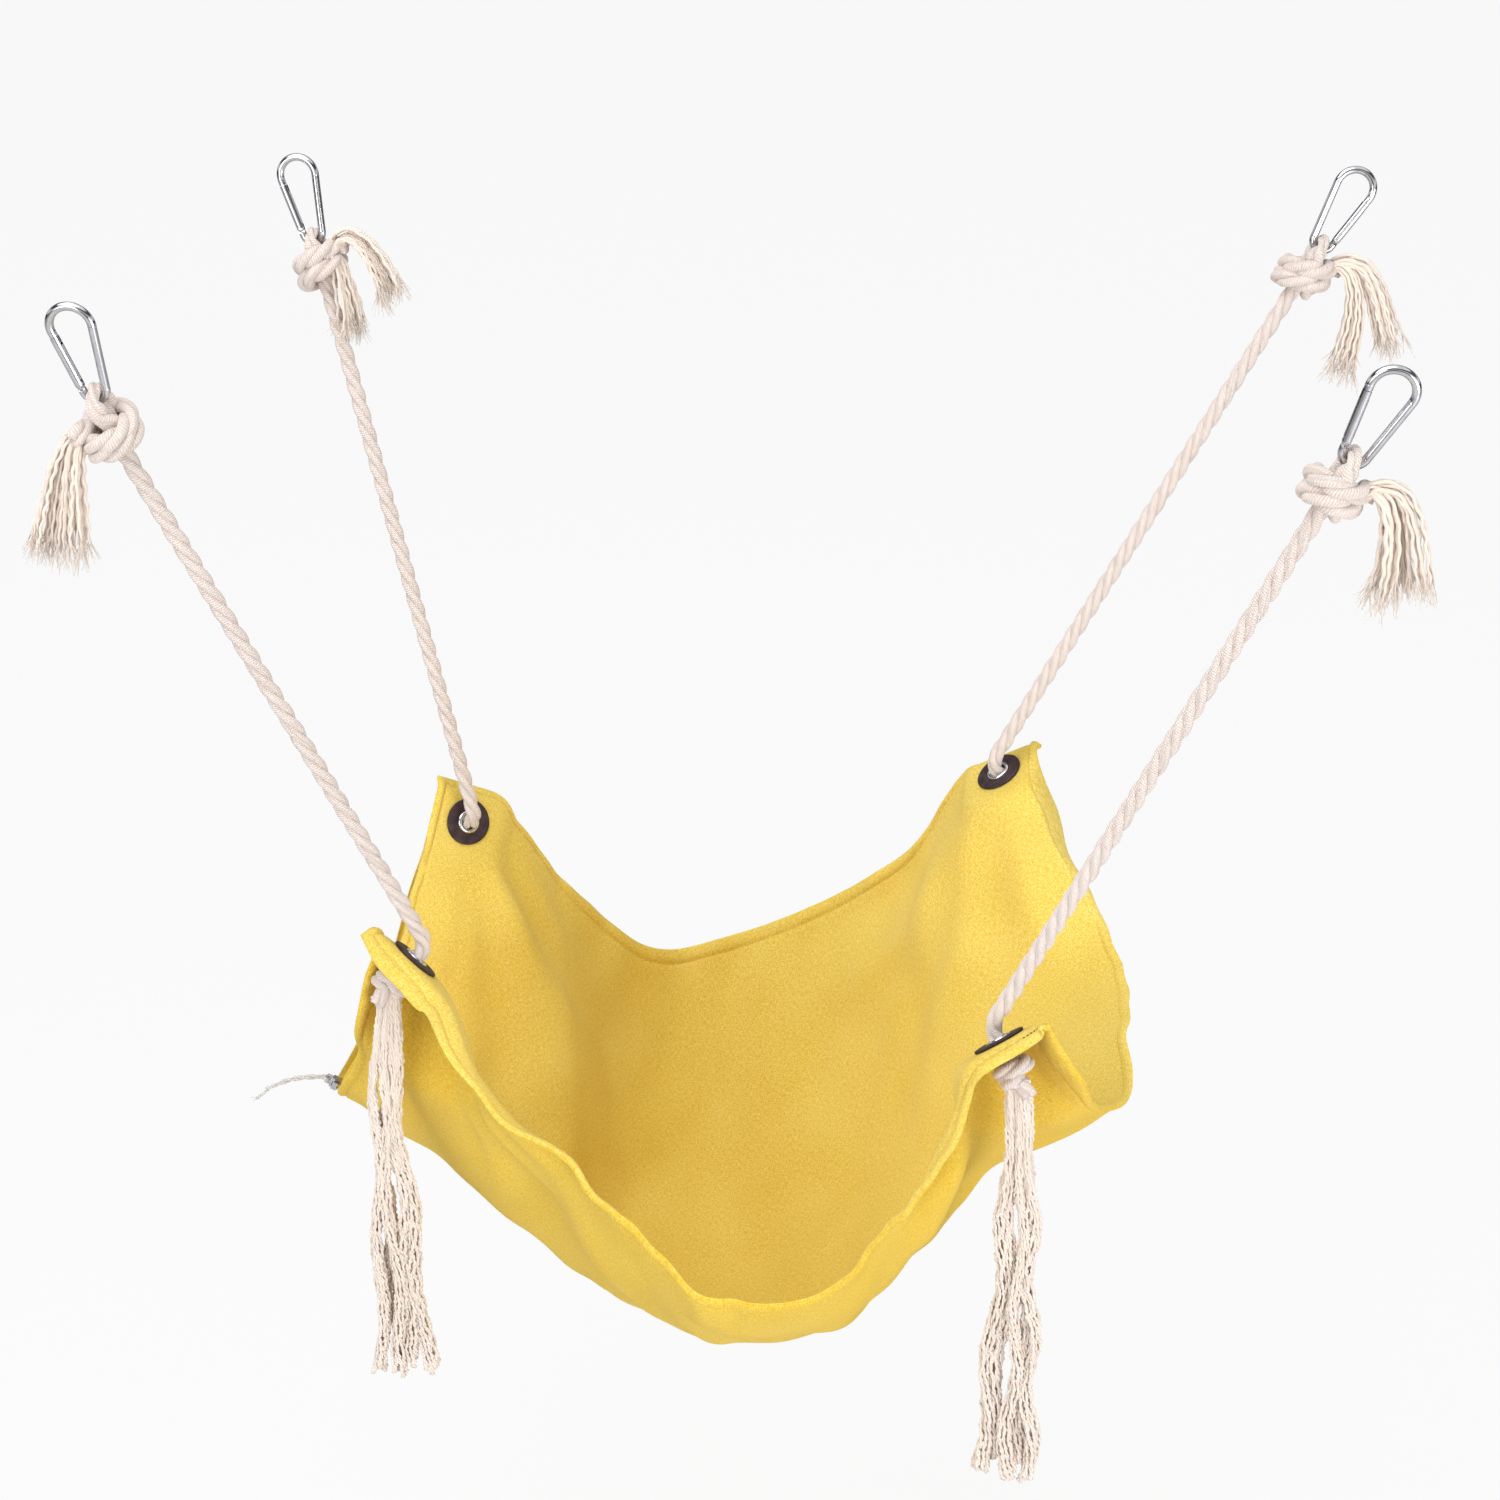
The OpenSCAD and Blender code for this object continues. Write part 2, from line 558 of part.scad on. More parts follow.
module rope(i) {
    color("wheat") in_frame(eyelets[i], rope_axes[i]) {
        turn = rope_turns[i];
        translate([0, 0, stopper_top - stopper_h / 3])
            short_bar(rope_d, bend_z - stopper_top + stopper_h / 3);
        translate([rope_bend_r, 0, bend_z]) bead_arc(rope_bend_r, 180 - turn, turn, rope_d);
        translate([rope_bend_r * (1 - cos(turn)), 0, bend_z + rope_bend_r * sin(turn)]) rotate([0, turn, 0])
            short_bar(rope_d, rope_straights[i] - knot_h / 2 + rope_in_knot);
    }
}
// Loop of rope round the hook's wire, and the wraps of the knot that closes it
module upper_knot(i) {
    color("wheat") at_hook(i) {
        translate([0, 0, hook_low + wire_r]) rotate([0, 0, 90]) bar_arc(loop_r, 0, 180, loop_d);
        for (side = [-1, 1])
            translate([0, side * loop_r, knot_z]) cylinder(d = loop_d, h = hook_low + wire_r - knot_z);
        translate([0, 0, knot_top - rope_d / 2 - run_gap]) wrap(knot_wrap_r, 0);
        translate([0, 0, knot_top - knot_h + rope_d / 2]) wrap(knot_wrap_r - rope_d / 8, -wrap_tilt);
        translate([0, 0, knot_top - knot_h]) cylinder(d = knot_core_d, h = knot_h - rope_d / 2);
    }
}
module stopper_knot(i) {
    color("wheat") at_ear(i) {
        translate([0, 0, stopper_top - rope_d / 2]) wrap(stopper_wrap_r, 0);
        translate([0, 0, stopper_top - stopper_h + rope_d / 2]) wrap(stopper_wrap_r - rope_d / 8, wrap_tilt);
        translate([0, 0, stopper_top - stopper_h]) cylinder(d = rope_d, h = stopper_h - rope_d / 2);
    }
}
module upper_tail(i) {
    start = knot_centres[i] + knot_wrap_r * unit([upper_tail_shares[i].x, upper_tail_shares[i].y, 0]);
    color("wheat") ring_sweep(
        [for (k = [0:tail_rings]) let (v = k / tail_rings)
            start + upper_tail_l * [upper_tail_shares[i].x * v, upper_tail_shares[i].y * v,
                upper_tail_shares[i].z * pow(v, 1.3)]],
        [for (k = [0:tail_rings]) let (v = k / tail_rings, wide = rope_d + v * (upper_tail_w - rope_d))
            [wide / 2, (rope_d + tail_depth_share * (wide - rope_d)) / 2]]);
}
module lower_tail(i) {
    start = eyelets[i] + (stopper_top - stopper_h + rope_d / 2) * ear_axes[i][2];
    color("wheat") ring_sweep(
        [for (k = [0:tail_rings]) let (v = k / tail_rings)
            start - rope_d * sin(90 * min(1, 3 * v)) * ear_axes[i][2] - [0, 0, lower_tail_l * v]],
        [for (k = [0:tail_rings]) let (v = k / tail_rings, wide = rope_d + v * (lower_tail_w - rope_d))
            [wide / 2, (rope_d + tail_depth_share * (wide - rope_d)) / 2]]);
}

// Bent wire from the nose over the bow, down the spine and round the narrow end to the gate's tang
module carabiner(i) {
    color("gainsboro") {
        at_hook(i) mirror([gate_sides[i] > 0 ? 1 : 0, 0, 0]) {
            translate([0, 0, bow_z]) bead_arc(bow_r, -leg_lean, 180 + 2 * leg_lean, wire_d);
            translate([0, 0, narrow_z]) bead_arc(narrow_r, 180 + leg_lean, 180 - 2 * leg_lean, wire_d);
            translate([narrow_r * cos(leg_lean), 0, narrow_z - narrow_r * sin(leg_lean)])
                rotate([0, leg_lean, 0]) short_bar(wire_d, leg_l);
        }
        at_gate_leg(i) {
            translate([0, 0, bead_short_share * wire_d]) cylinder(d = wire_d, h = stub_l - bead_short_share * wire_d);
            translate([0, 0, nose_z]) cylinder(d = wire_d, h = leg_l - nose_z - bead_short_share * wire_d);
            translate([-tang_r / 2, -tang_t / 2, nose_z - fork_depth + run_gap])
                cube([tang_r, tang_t, fork_depth]);
            difference() {
                union() {
                    translate([-tang_r, -tang_t / 2, stub_l / 2]) cube([2 * tang_r, tang_t, gate_pin_z - stub_l / 2]);
                    translate([0, 0, gate_pin_z]) rotate([90, 0, 0]) cylinder(r = tang_r, h = tang_t, center = true);
                }
                translate([0, 0, gate_pin_z]) rotate([90, 0, 0])
                    cylinder(d = pin_d + 2 * pin_seat, h = tang_t + 2 * overrun, center = true);
            }
        }
    }
}
// Round bar forked at both ends: over the tang at its pin, and over the nose's tongue
module gate(i) {
    color("silver") at_gate_leg(i) translate([0, 0, gate_pin_z]) difference() {
        union() {
            sphere(d = gate_d);
            cylinder(d = gate_d, h = gate_l);
        }
        translate([-gate_d, -fork_w / 2, -gate_d]) cube([2 * gate_d, fork_w, gate_d + tang_r + 2 * run_gap]);
        translate([-gate_d, -fork_w / 2, gate_l - fork_depth]) cube([2 * gate_d, fork_w, fork_depth + overrun]);
        rotate([90, 0, 0]) cylinder(d = pin_d + 2 * pin_clear, h = gate_d + 2 * overrun, center = true);
        cylinder(d = spring_d + 2 * run_gap, h = tang_r + 4 * run_gap + spring_l);
    }
}
module gate_pin(i) {
    color("gray") at_gate_leg(i) translate([0, 0, gate_pin_z]) rotate([90, 0, 0])
        cylinder(d = pin_d, h = gate_d - pin_d / 4, center = true);
}
module gate_spring(i) {
    color("dimgray") at_gate_leg(i) translate([0, 0, gate_pin_z + tang_r + 3 * run_gap])
        cylinder(d = spring_d, h = spring_l);
}

module zip_tape() color("goldenrod") zip_strip(tape_in, chain_in - run_gap, tape_t);
module zip_chain() color("khaki") zip_strip(chain_in, chain_in + chain_w, chain_t);
module zip_stop() {
    color("dimgray") in_frame(zip_start, zip_axes)
        translate([-chain_w / 2, -stop_l - seat_gap, -chain_t]) cube([chain_w, stop_l, 2 * chain_t]);
}
// Two plates and a closed outer side round the chain, with a bar for the pull
module zip_slider() {
    color("slategray") at_slider() {
        difference() {
            translate([-chain_w / 2 - slider_gap, -slider_l / 2, -slider_t / 2]) cube([slider_w, slider_l, slider_t]);
            translate([-chain_w / 2 - slider_gap - overrun, -slider_l / 2 - overrun, -chain_t / 2 - slider_gap])
                cube([chain_w + 2 * slider_gap + overrun, slider_l + 2 * overrun, chain_t + 2 * slider_gap]);
        }
        translate([slider_w - chain_w / 2 - slider_gap + bar_reach, 0, -slider_t / 2]) cylinder(d = bar_d, h = slider_t);
        for (z = [-slider_t / 2, slider_t / 2 - slider_wall])
            translate([slider_w - chain_w / 2 - slider_gap - slider_wall / 2, -bar_d / 2, z])
                cube([bar_reach + slider_wall / 2, bar_d, slider_wall]);
    }
}
// Cord eye round the slider's bar and its two loose ends
module zip_pull() {
    eye_h = slider_t - 2 * slider_wall - 2 * run_gap;
    color("gainsboro") at_slider() translate([slider_w - chain_w / 2 - slider_gap + bar_reach, 0, 0]) {
        translate([0, 0, -eye_h / 2]) tube_ring(pull_eye_d, bar_d + 2 * pin_clear, eye_h);
        for (side = [-1, 1]) translate([pull_eye_d / 2 - pull_d / 4, 0, 0])
            rotate([0, 90 + pull_droop, side * atan2(pull_spread, pull_l)]) cylinder(d = pull_d, h = pull_l);
    }
}

top_panel();
bottom_panel();
zip_tape();
zip_chain();
zip_stop();
zip_slider();
zip_pull();
for (i = [0:3]) {
    leather_ring_top(i);
    leather_ring_bottom(i);
    eyelet(i);
    eyelet_washer(i);
    rope(i);
    upper_knot(i);
    upper_tail(i);
    stopper_knot(i);
    lower_tail(i);
    carabiner(i);
    gate(i);
    gate_pin(i);
    gate_spring(i);
}
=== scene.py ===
import math
import random

import bpy
import numpy as np
from mathutils import Matrix, Vector


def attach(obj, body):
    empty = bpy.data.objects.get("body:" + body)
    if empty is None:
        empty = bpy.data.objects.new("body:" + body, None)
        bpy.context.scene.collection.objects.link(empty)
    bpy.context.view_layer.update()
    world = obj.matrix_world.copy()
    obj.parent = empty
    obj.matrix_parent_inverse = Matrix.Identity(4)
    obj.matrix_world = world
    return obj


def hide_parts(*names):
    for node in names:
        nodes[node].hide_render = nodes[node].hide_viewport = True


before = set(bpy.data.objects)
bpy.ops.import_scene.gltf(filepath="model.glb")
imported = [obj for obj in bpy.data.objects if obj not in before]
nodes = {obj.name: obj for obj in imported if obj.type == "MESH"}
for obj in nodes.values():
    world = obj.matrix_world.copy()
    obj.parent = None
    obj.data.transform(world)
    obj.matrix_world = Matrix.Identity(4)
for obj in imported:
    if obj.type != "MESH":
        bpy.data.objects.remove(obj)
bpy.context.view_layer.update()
scene = bpy.context.scene

# Lengths up to the stage are millimetres, as in the CAD source, and add_mesh() puts them into metres.
# Lists of four go round the corners in this order.
MM = 0.001
CORNERS = ("front_left", "rear_left", "rear_right", "front_right")
HANG_HALF_W, HANG_HALF_D, HANG_DROP = 287, 157, 356
BED_HALF_W, BED_HALF_D, EDGE_SAG, BELLY = 153, 108, 163, 90
EYELET_INSET, RING_D = 23, 27
EAR_REACHES, SHEET_REACHES = (46, 36, 34, 46), (72, 105, 105, 72)
FOLD_H, FOLD_HALF_W, RIDGE_H, RIDGE_HALF_W = 7, 20, 27, 44
ROPE_D, ROPE_BEND_R = 8.5, 9
KNOT_D, KNOT_H, STOPPER_D, STOPPER_H = 27, 22, 22, 17
LOWER_TAIL_L, LOWER_TAIL_W = 242, 40
HOOK_L, WIRE_D, NARROW_W = 50, 4, 14.8
PANEL_T, PANEL_GAP, RING_T, FLANGE_T = 1.2, 0.4, 1.5, 0.8
SEAT_GAP, RUN_GAP = 0.1, 0.3
HOOK_SHARES = ((-0.99, -0.91), (-0.91, 0.89), (1.07, 1.13), (1.02, -1.05))
EYELET_SHARES = ((-1.05, -0.85, 0), (-1.14, 0.86, 0.1), (0.87, 1.09, -0.13), (0.935, -1.185, 0.02))
EAR_ANGLES = ((49.5, 34.6, -55), (67, -47.6, 60), (32.7, -158.2, 155), (41.5, 142.4, -111.6))
EAR_BENDS = (65, 40, 60, 60)
CORNER_SIGNS = ((-1, -1), (-1, 1), (1, 1), (1, -1))
HOOK_LEANS = (8, 0, 0, 0)
UPPER_TAIL_SHARES = ((-0.5, -0.1, -0.86), (0.66, -0.3, -0.65), (0.36, -0.1, -0.92), (0.56, -0.1, -0.82))
FRONT_SHARES = ((-0.88, -1.11, 0.11), (-0.59, -1.17, 0.42), (-0.3, -1.22, 0.74), (0.03, -1.28, 1),
                (0.43, -1.32, 0.9), (0.65, -1.35, 0.54), (0.82, -1.37, 0.15))
REAR_SHARES = ((-0.99, 1.19, 0.28), (-0.77, 1.39, 0.59), (-0.52, 1.6, 0.87), (-0.16, 1.75, 0.83),
               (0.2, 1.68, 0.63), (0.5, 1.51, 0.36), (0.73, 1.38, 0.05))
LEFT_SHARES = ((-1.22, -0.89, 0.14), (-1.29, -0.71, 0.4), (-1.41, -0.51, 0.64), (-1.46, -0.19, 0.77),
               (-1.42, 0.24, 0.7), (-1.39, 0.6, 0.53), (-1.34, 0.87, 0.31))
RIGHT_SHARES = ((1.19, -1.19, 0.11), (1.26, -0.92, 0.33), (1.39, -0.56, 0.46), (1.39, -0.15, 0.38),
                (1.35, 0.24, 0.325), (1.256, 0.61, 0.2), (1.11, 0.98, 0.03))
FOLD_SHARES = ((0.95, 0.93, 0.66, 0.52, 1), (0.05, 0.92, 0.24, 0.52, -0.8), (0.93, 0.08, 0.7, 0.18, -1),
               (0.07, 0.1, 0.38, 0.26, 0.8))
RIDGE_SHARES = ((0, 1, 0.38, 0.62, 1), (1, 1, 0.68, 0.68, 0.7))
# How the cloth hangs from its ears, and how a corner's side strip falls away: over what inset, from where
# and over what length past the corner
ROOT_REACH, RIM_MARGIN, STRAIGHT_SHARE, OUTER_SHARE = 18, 25, 0.4, 0.5
FALL_RUNS, FALL_FROMS, FALL_OVERS = (12, 0, 6, 12), (9, 0, 6, 1), (18, 1, 30, 9)
DROOP_FADE, BELLY_FULL, BELLY_LEAN = 2.5, 0.8, 11


# Small vector helpers
def unit(v):
    v = np.asarray(v, float)
    return v / np.linalg.norm(v, axis=-1)[..., None]


def ease(u):
    u = np.clip(u, 0, 1)
    return u * u * (3 - 2 * u)


def curve_point(points, u):
    """Points at shares u along a smooth curve through the given points."""
    points, u = np.asarray(points, float), np.asarray(u, float)
    last = len(points) - 1
    i = np.clip((u * last).astype(int), 0, last - 1)
    f = (u * last - i)[..., None]
    ends = np.vstack([2 * points[0] - points[1], points, 2 * points[-1] - points[-2]])
    a, b, c, d = ends[i], ends[i + 1], ends[i + 2], ends[i + 3]
    return (2 * b + (c - a) * f + (2 * a - 5 * b + 4 * c - d) * f**2 + (3 * b - a - 3 * c + d) * f**3) / 2


def lengths_along(path):
    return np.concatenate([[0], np.cumsum(np.linalg.norm(np.diff(path, axis=0), axis=1))])


def points_at(want, places, points):
    """Rows of points read off at the wanted places along them."""
    return np.column_stack([np.interp(want, places, points[:, k]) for k in range(points.shape[1])])


CURVE_DENSITY = 40


def even_path(points, step):
    """A smooth path through points, resampled to even steps."""
    dense = curve_point(points, np.linspace(0, 1, CURVE_DENSITY * len(points)))
    s = lengths_along(dense)
    count = max(3, int(round(s[-1] / step)) + 1)
    return points_at(np.linspace(0, s[-1], count), s, dense)


def transport(path):
    """Two side directions along a path that don't twist about it."""
    t = unit(np.gradient(path, axis=0))
    u = [unit(np.cross(t[0], [0, 0, 1] if abs(t[0][2]) < 0.9 else [1, 0, 0]))]
    for k in range(1, len(path)):
        u.append(unit(u[-1] - t[k] * (u[-1] @ t[k])))
    u = np.array(u)
    return u, np.cross(t, u)


def wrap_faces(rows, sides, closed=False, flip=False):
    """Quads between neighbouring rows of points round a tube, and from the last to the first if closed."""
    faces = []
    for k in range(rows if closed else rows - 1):
        here, there = k * sides, (k + 1) % rows * sides
        for j in range(sides):
            quad = (here + j, here + (j + 1) % sides, there + (j + 1) % sides, there + j)
            faces.append((quad[0], *quad[:0:-1]) if flip else quad)
    return faces


# A strand's place and radius in a laid rope, as shares of the rope's diameter
STRAND_OUT, STRAND_R = 0.25, 0.262


class Bag:
    """Vertices, faces and UVs that go into one mesh."""

    def __init__(self):
        self.verts, self.faces, self.uvs, self.count = [], [], [], 0

    def add(self, verts, faces, uvs):
        self.faces += [tuple(i + self.count for i in f) for f in faces]
        self.verts.append(verts)
        self.uvs.append(uvs)
        self.count += len(verts)

    def tube(self, path, radii, sides, turn=0.0):
        """A closed tube along a path. UV is the share round it and the length along it in millimetres."""
        radii = np.broadcast_to(np.asarray(radii, float), (len(path),))
        u, w = transport(path)
        a = turn + math.tau * np.arange(sides) / sides
        ring = np.cos(a)[None, :, None] * u[:, None] + np.sin(a)[None, :, None] * w[:, None]
        verts = (path[:, None] + radii[:, None, None] * ring).reshape(-1, 3)
        n = len(path)
        faces = wrap_faces(n, sides)
        faces += [tuple(range(sides - 1, -1, -1)), tuple((n - 1) * sides + j for j in range(sides))]
        uv = np.column_stack([np.tile(np.arange(sides) / sides, n), np.repeat(lengths_along(path), sides)])
        self.add(verts, faces, uv)

    def laid(self, path, d, pitch, strands=3, sides=10, phase=0.0, width=None):
        """A left-laid rope: strands wound round a path. width is the share of d at each point."""
        u, w = transport(path)
        s = lengths_along(path)
        width = np.ones(len(path)) if width is None else width
        for k in range(strands):
            a = phase + math.tau * (k / strands - s / pitch)
            out = np.cos(a)[:, None] * u + np.sin(a)[:, None] * w
            self.tube(path + out * (STRAND_OUT * d * width)[:, None], STRAND_R * d * width, sides, turn=k)


def add_object(name, data):
    obj = bpy.data.objects.new(name, data)
    scene.collection.objects.link(obj)
    return obj


def add_mesh(name, bag, material, body, replaced=()):
    mesh = bpy.data.meshes.new(name)
    mesh.from_pydata((np.vstack(bag.verts) * MM).tolist(), [], bag.faces)
    mesh.polygons.foreach_set("use_smooth", [True] * len(mesh.polygons))
    at = np.empty(len(mesh.loops), np.int32)
    mesh.loops.foreach_get("vertex_index", at)
    uv = np.vstack(bag.uvs)[at].astype(np.float32)
    mesh.uv_layers.new(name="UVMap").data.foreach_set("uv", uv.ravel())
    mesh.materials.append(material)
    obj = add_object(name, mesh)
    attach(obj, body)
    if replaced:
        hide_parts(*replaced)
    return obj


# Places taken from the CAD source
def turn_axes(tilt, heading, spin):
    m = Matrix.Rotation(math.radians(heading), 3, "Z") @ Matrix.Rotation(math.radians(tilt), 3, "Y")
    return np.array((m @ Matrix.Rotation(math.radians(spin), 3, "Z")).transposed())


def bed_place(share):
    return np.array([share[0] * BED_HALF_W, share[1] * BED_HALF_D, -HANG_DROP - share[2] * EDGE_SAG])


ear_axes = [turn_axes(*angles) for angles in EAR_ANGLES]
eyelets = [bed_place(share) for share in EYELET_SHARES]
hooks = [np.array([x * HANG_HALF_W, y * HANG_HALF_D, 0.0]) for x, y in HOOK_SHARES]
EAR_SEAT = RING_D / 2 + 1
BEND_EARLY, BEND_RUN, BEND_STEP, BEND_MOST = 1.2, 6, 0.1, 200


def bent(off, run, angle):
    """How far out and how far down a strip reaches at lengths off along it, bent by angles along a run."""
    return (np.interp(off, run, np.cumsum(way(angle)) * BEND_STEP) for way in (np.cos, np.sin))


def ear_point(i, x, y):
    """Points of an ear at flat places from its eyelet. Its front or rear strip bends down past the ring."""
    sign = CORNER_SIGNS[i][1]
    out = np.arange(0, BEND_MOST, BEND_STEP)
    angle = math.radians(EAR_BENDS[i]) * ease((out - EAR_SEAT + BEND_EARLY) / BEND_RUN)
    along, drop = bent(sign * y, out, angle)
    along = sign * np.where(sign * y > 0, along, sign * y)
    e1, e2, n = ear_axes[i]
    return eyelets[i] + x[..., None] * e1 + along[..., None] * e2 - drop[..., None] * n


cloth_corners = [ear_point(i, *(np.array(EYELET_INSET * float(sign)) for sign in signs))
                 for i, signs in enumerate(CORNER_SIGNS)]
hook_axes = []
for i in range(4):
    line = unit(hooks[i] - eyelets[i])
    lean = math.radians(HOOK_LEANS[i])
    up = unit(line * math.cos(lean) + unit(np.cross([0, 1, 0], line)) * math.sin(lean))
    side = unit(np.cross([0, 1, 0], up))
    hook_axes.append(np.array([side, np.cross(up, side), up]))
HOOK_LOW = WIRE_D - HOOK_L
KNOT_TOP = HOOK_LOW - 2 * RUN_GAP
KNOT_Z = KNOT_TOP - KNOT_H / 2
PANEL_TOP = PANEL_GAP / 2 + PANEL_T
BARREL_END = PANEL_TOP + RING_T + 1.5 * FLANGE_T + 3 * SEAT_GAP
STOPPER_TOP = -BARREL_END - RUN_GAP
BEND_Z = BARREL_END + RUN_GAP
knot_centres = [hooks[i] + KNOT_Z * hook_axes[i][2] for i in range(4)]
front_edge, rear_edge, left_edge, right_edge = (
    np.array([cloth_corners[a], *(bed_place(share) for share in shares), cloth_corners[b]])
    for a, shares, b in ((0, FRONT_SHARES, 3), (1, REAR_SHARES, 2), (0, LEFT_SHARES, 1), (3, RIGHT_SHARES, 2)))
EDGE_POINTS = 37
CLOTH_W, CLOTH_D = (lengths_along(curve_point(points, np.linspace(0, 1, EDGE_POINTS)))[-1]
                    for points in (front_edge, left_edge))
ear_places = [tuple(EYELET_INSET if sign < 0 else size - EYELET_INSET
                    for sign, size in zip(signs, (CLOTH_W, CLOTH_D))) for signs in CORNER_SIGNS]


# Materials
class Look:
    """The nodes of a material or of the world. A value is a constant or another node's output."""

    def __init__(self, owner):
        owner.use_nodes = True
        self.owner, self.nodes, self.links = owner, owner.node_tree.nodes, owner.node_tree.links

    def put(self, socket, value):
        if isinstance(value, bpy.types.NodeSocket):
            self.links.new(value, socket)
        else:
            socket.default_value = value

    def fill(self, made, **values):
        """Fill a node's inputs, underscores standing for the spaces in their names, or its settings."""
        for key, value in values.items():
            name = key.replace("_", " ")
            if name in made.inputs:
                self.put(made.inputs[name], value)
            else:
                setattr(made, key, value)
        return made

    def node(self, kind, **values):
        return self.fill(self.nodes.new(kind), **values)

    def shade(self, **values):
        self.fill(self.nodes["Principled BSDF"], **values)

    def place(self, scale=(1, 1, 1), source="UV", turn=0.0):
        where = self.node("ShaderNodeTexCoord").outputs[source]
        mapping = self.node("ShaderNodeMapping", Vector=where, Scale=scale, Rotation=(0, 0, turn))
        return mapping.outputs["Vector"]

    def noise(self, where, scale, detail, roughness=0.5):
        made = self.node("ShaderNodeTexNoise", Vector=where, Scale=scale, Detail=detail, Roughness=roughness)
        return made.outputs["Fac"]

    def bands(self, where, direction, scale, distortion, detail, detail_scale):
        made = self.node("ShaderNodeTexWave", wave_type="BANDS", bands_direction=direction, Vector=where,
                         Scale=scale, Distortion=distortion, Detail=detail, Detail_Scale=detail_scale)
        return made.outputs["Fac"]

    def math(self, operation, *values):
        made = self.node("ShaderNodeMath", operation=operation)
        for socket, value in zip(made.inputs, values):
            self.put(socket, value)
        return made.outputs[0]

    def weighted(self, *terms):
        """The sum of outputs, each times its weight."""
        total = None
        for value, weight in terms:
            part = self.math("MULTIPLY", value, weight)
            total = part if total is None else self.math("ADD", total, part)
        return total

    def ramp(self, value, *stops):
        made = self.node("ShaderNodeValToRGB", Fac=value)
        elements = made.color_ramp.elements
        while len(elements) < len(stops):
            elements.new(0.5)
        for element, (place, colour) in zip(elements, stops):
            element.position = place
            element.color = (*colour, 1)
        return made.outputs["Color"]

    def bump(self, height, strength, distance):
        made = self.node("ShaderNodeBump", Height=height, Strength=strength, Distance=distance)
        return made.outputs["Normal"]


def canvas(name, light, dark):
    """Plain-woven slub canvas. UV is the flat cloth in millimetres."""
    look = Look(bpy.data.materials.new(name))
    warp, weft = (look.bands(look.place(turn=turn), "X", scale=0.52, distortion=0.6, detail=1.0,
                             detail_scale=1.5) for turn in (0.0, math.pi / 2))
    slub = look.weighted(*((look.noise(look.place(scale), scale=1.0, detail=3.0, roughness=0.6), 0.5)
                           for scale in ((2.0, 0.42, 1), (0.42, 2.0, 1))))
    mottle = look.noise(look.place(), scale=1.5, detail=4.0, roughness=0.75)
    cloud = look.noise(look.place(), scale=0.022, detail=2.0)
    tone = look.weighted((slub, 0.5), (mottle, 0.44), (cloud, 0.06))
    middle = tuple((a + b) / 2 for a, b in zip(light, dark))
    height = look.weighted((look.math("MULTIPLY", warp, weft), 1.0), (slub, 1.5))
    look.shade(Base_Color=look.ramp(tone, (0.44, dark), (0.5, middle), (0.56, light)),
               Normal=look.bump(height, strength=0.45, distance=0.0005), Roughness=0.88,
               Specular_IOR_Level=0.15, Sheen_Weight=0.25, Sheen_Roughness=0.6, Sheen_Tint=(1.0, 0.86, 0.4, 1))
    return look.owner


COTTON = {"Roughness": 0.95, "Specular_IOR_Level": 0.1, "Sheen_Weight": 0.3, "Sheen_Roughness": 0.7,
          "Subsurface_Weight": 0.15, "Subsurface_Radius": (0.002, 0.0015, 0.001)}


def cotton(name, light, dark, yarn_scale, yarn_turn, **changes):
    """Spun cotton. UV is the share round a strand and the length along it in millimetres."""
    look = Look(bpy.data.materials.new(name))
    yarn = look.bands(look.place((yarn_turn, 1, 1)), "DIAGONAL", scale=yarn_scale, distortion=2.5, detail=2.0,
                      detail_scale=2.0)
    fuzz = look.noise(look.place(source="Object"), scale=900.0, detail=3.0, roughness=0.65)
    patch = look.noise(look.place(source="Object"), scale=90.0, detail=2.0)
    tone = look.weighted((yarn, 0.45), (fuzz, 0.3), (patch, 0.25))
    height = look.weighted((yarn, 1.0), (fuzz, 0.8))
    look.shade(Base_Color=look.ramp(tone, (0.25, dark), (0.6, light)),
               Normal=look.bump(height, strength=0.5, distance=0.0005), **(COTTON | changes))
    return look.owner


def metal(name, colour, low, high, scale):
    """Plated metal with faint wear and smudges in its polish."""
    look = Look(bpy.data.materials.new(name))
    smudge = look.noise(look.place(source="Object"), scale, detail=5.0, roughness=0.6)
    rough = look.node("ShaderNodeMapRange", Value=smudge, To_Min=low, To_Max=high)
    worn = tuple(c * 0.82 for c in colour)
    look.shade(Metallic=1.0, Base_Color=look.ramp(smudge, (0.35, worn), (0.6, colour)),
               Roughness=rough.outputs["Result"], Normal=look.bump(smudge, strength=0.03, distance=0.0003))
    return look.owner


def leather(name, light, dark):
    look = Look(bpy.data.materials.new(name))
    where = look.place(source="Object")
    grain = look.node("ShaderNodeTexVoronoi", feature="SMOOTH_F1", Vector=where, Scale=1400.0)
    tone = look.noise(where, scale=220.0, detail=4.0)
    look.shade(Base_Color=look.ramp(tone, (0.35, dark), (0.68, light)), Roughness=0.55, Specular_IOR_Level=0.35,
               Normal=look.bump(grain.outputs["Distance"], strength=0.5, distance=0.0003))
    return look.owner


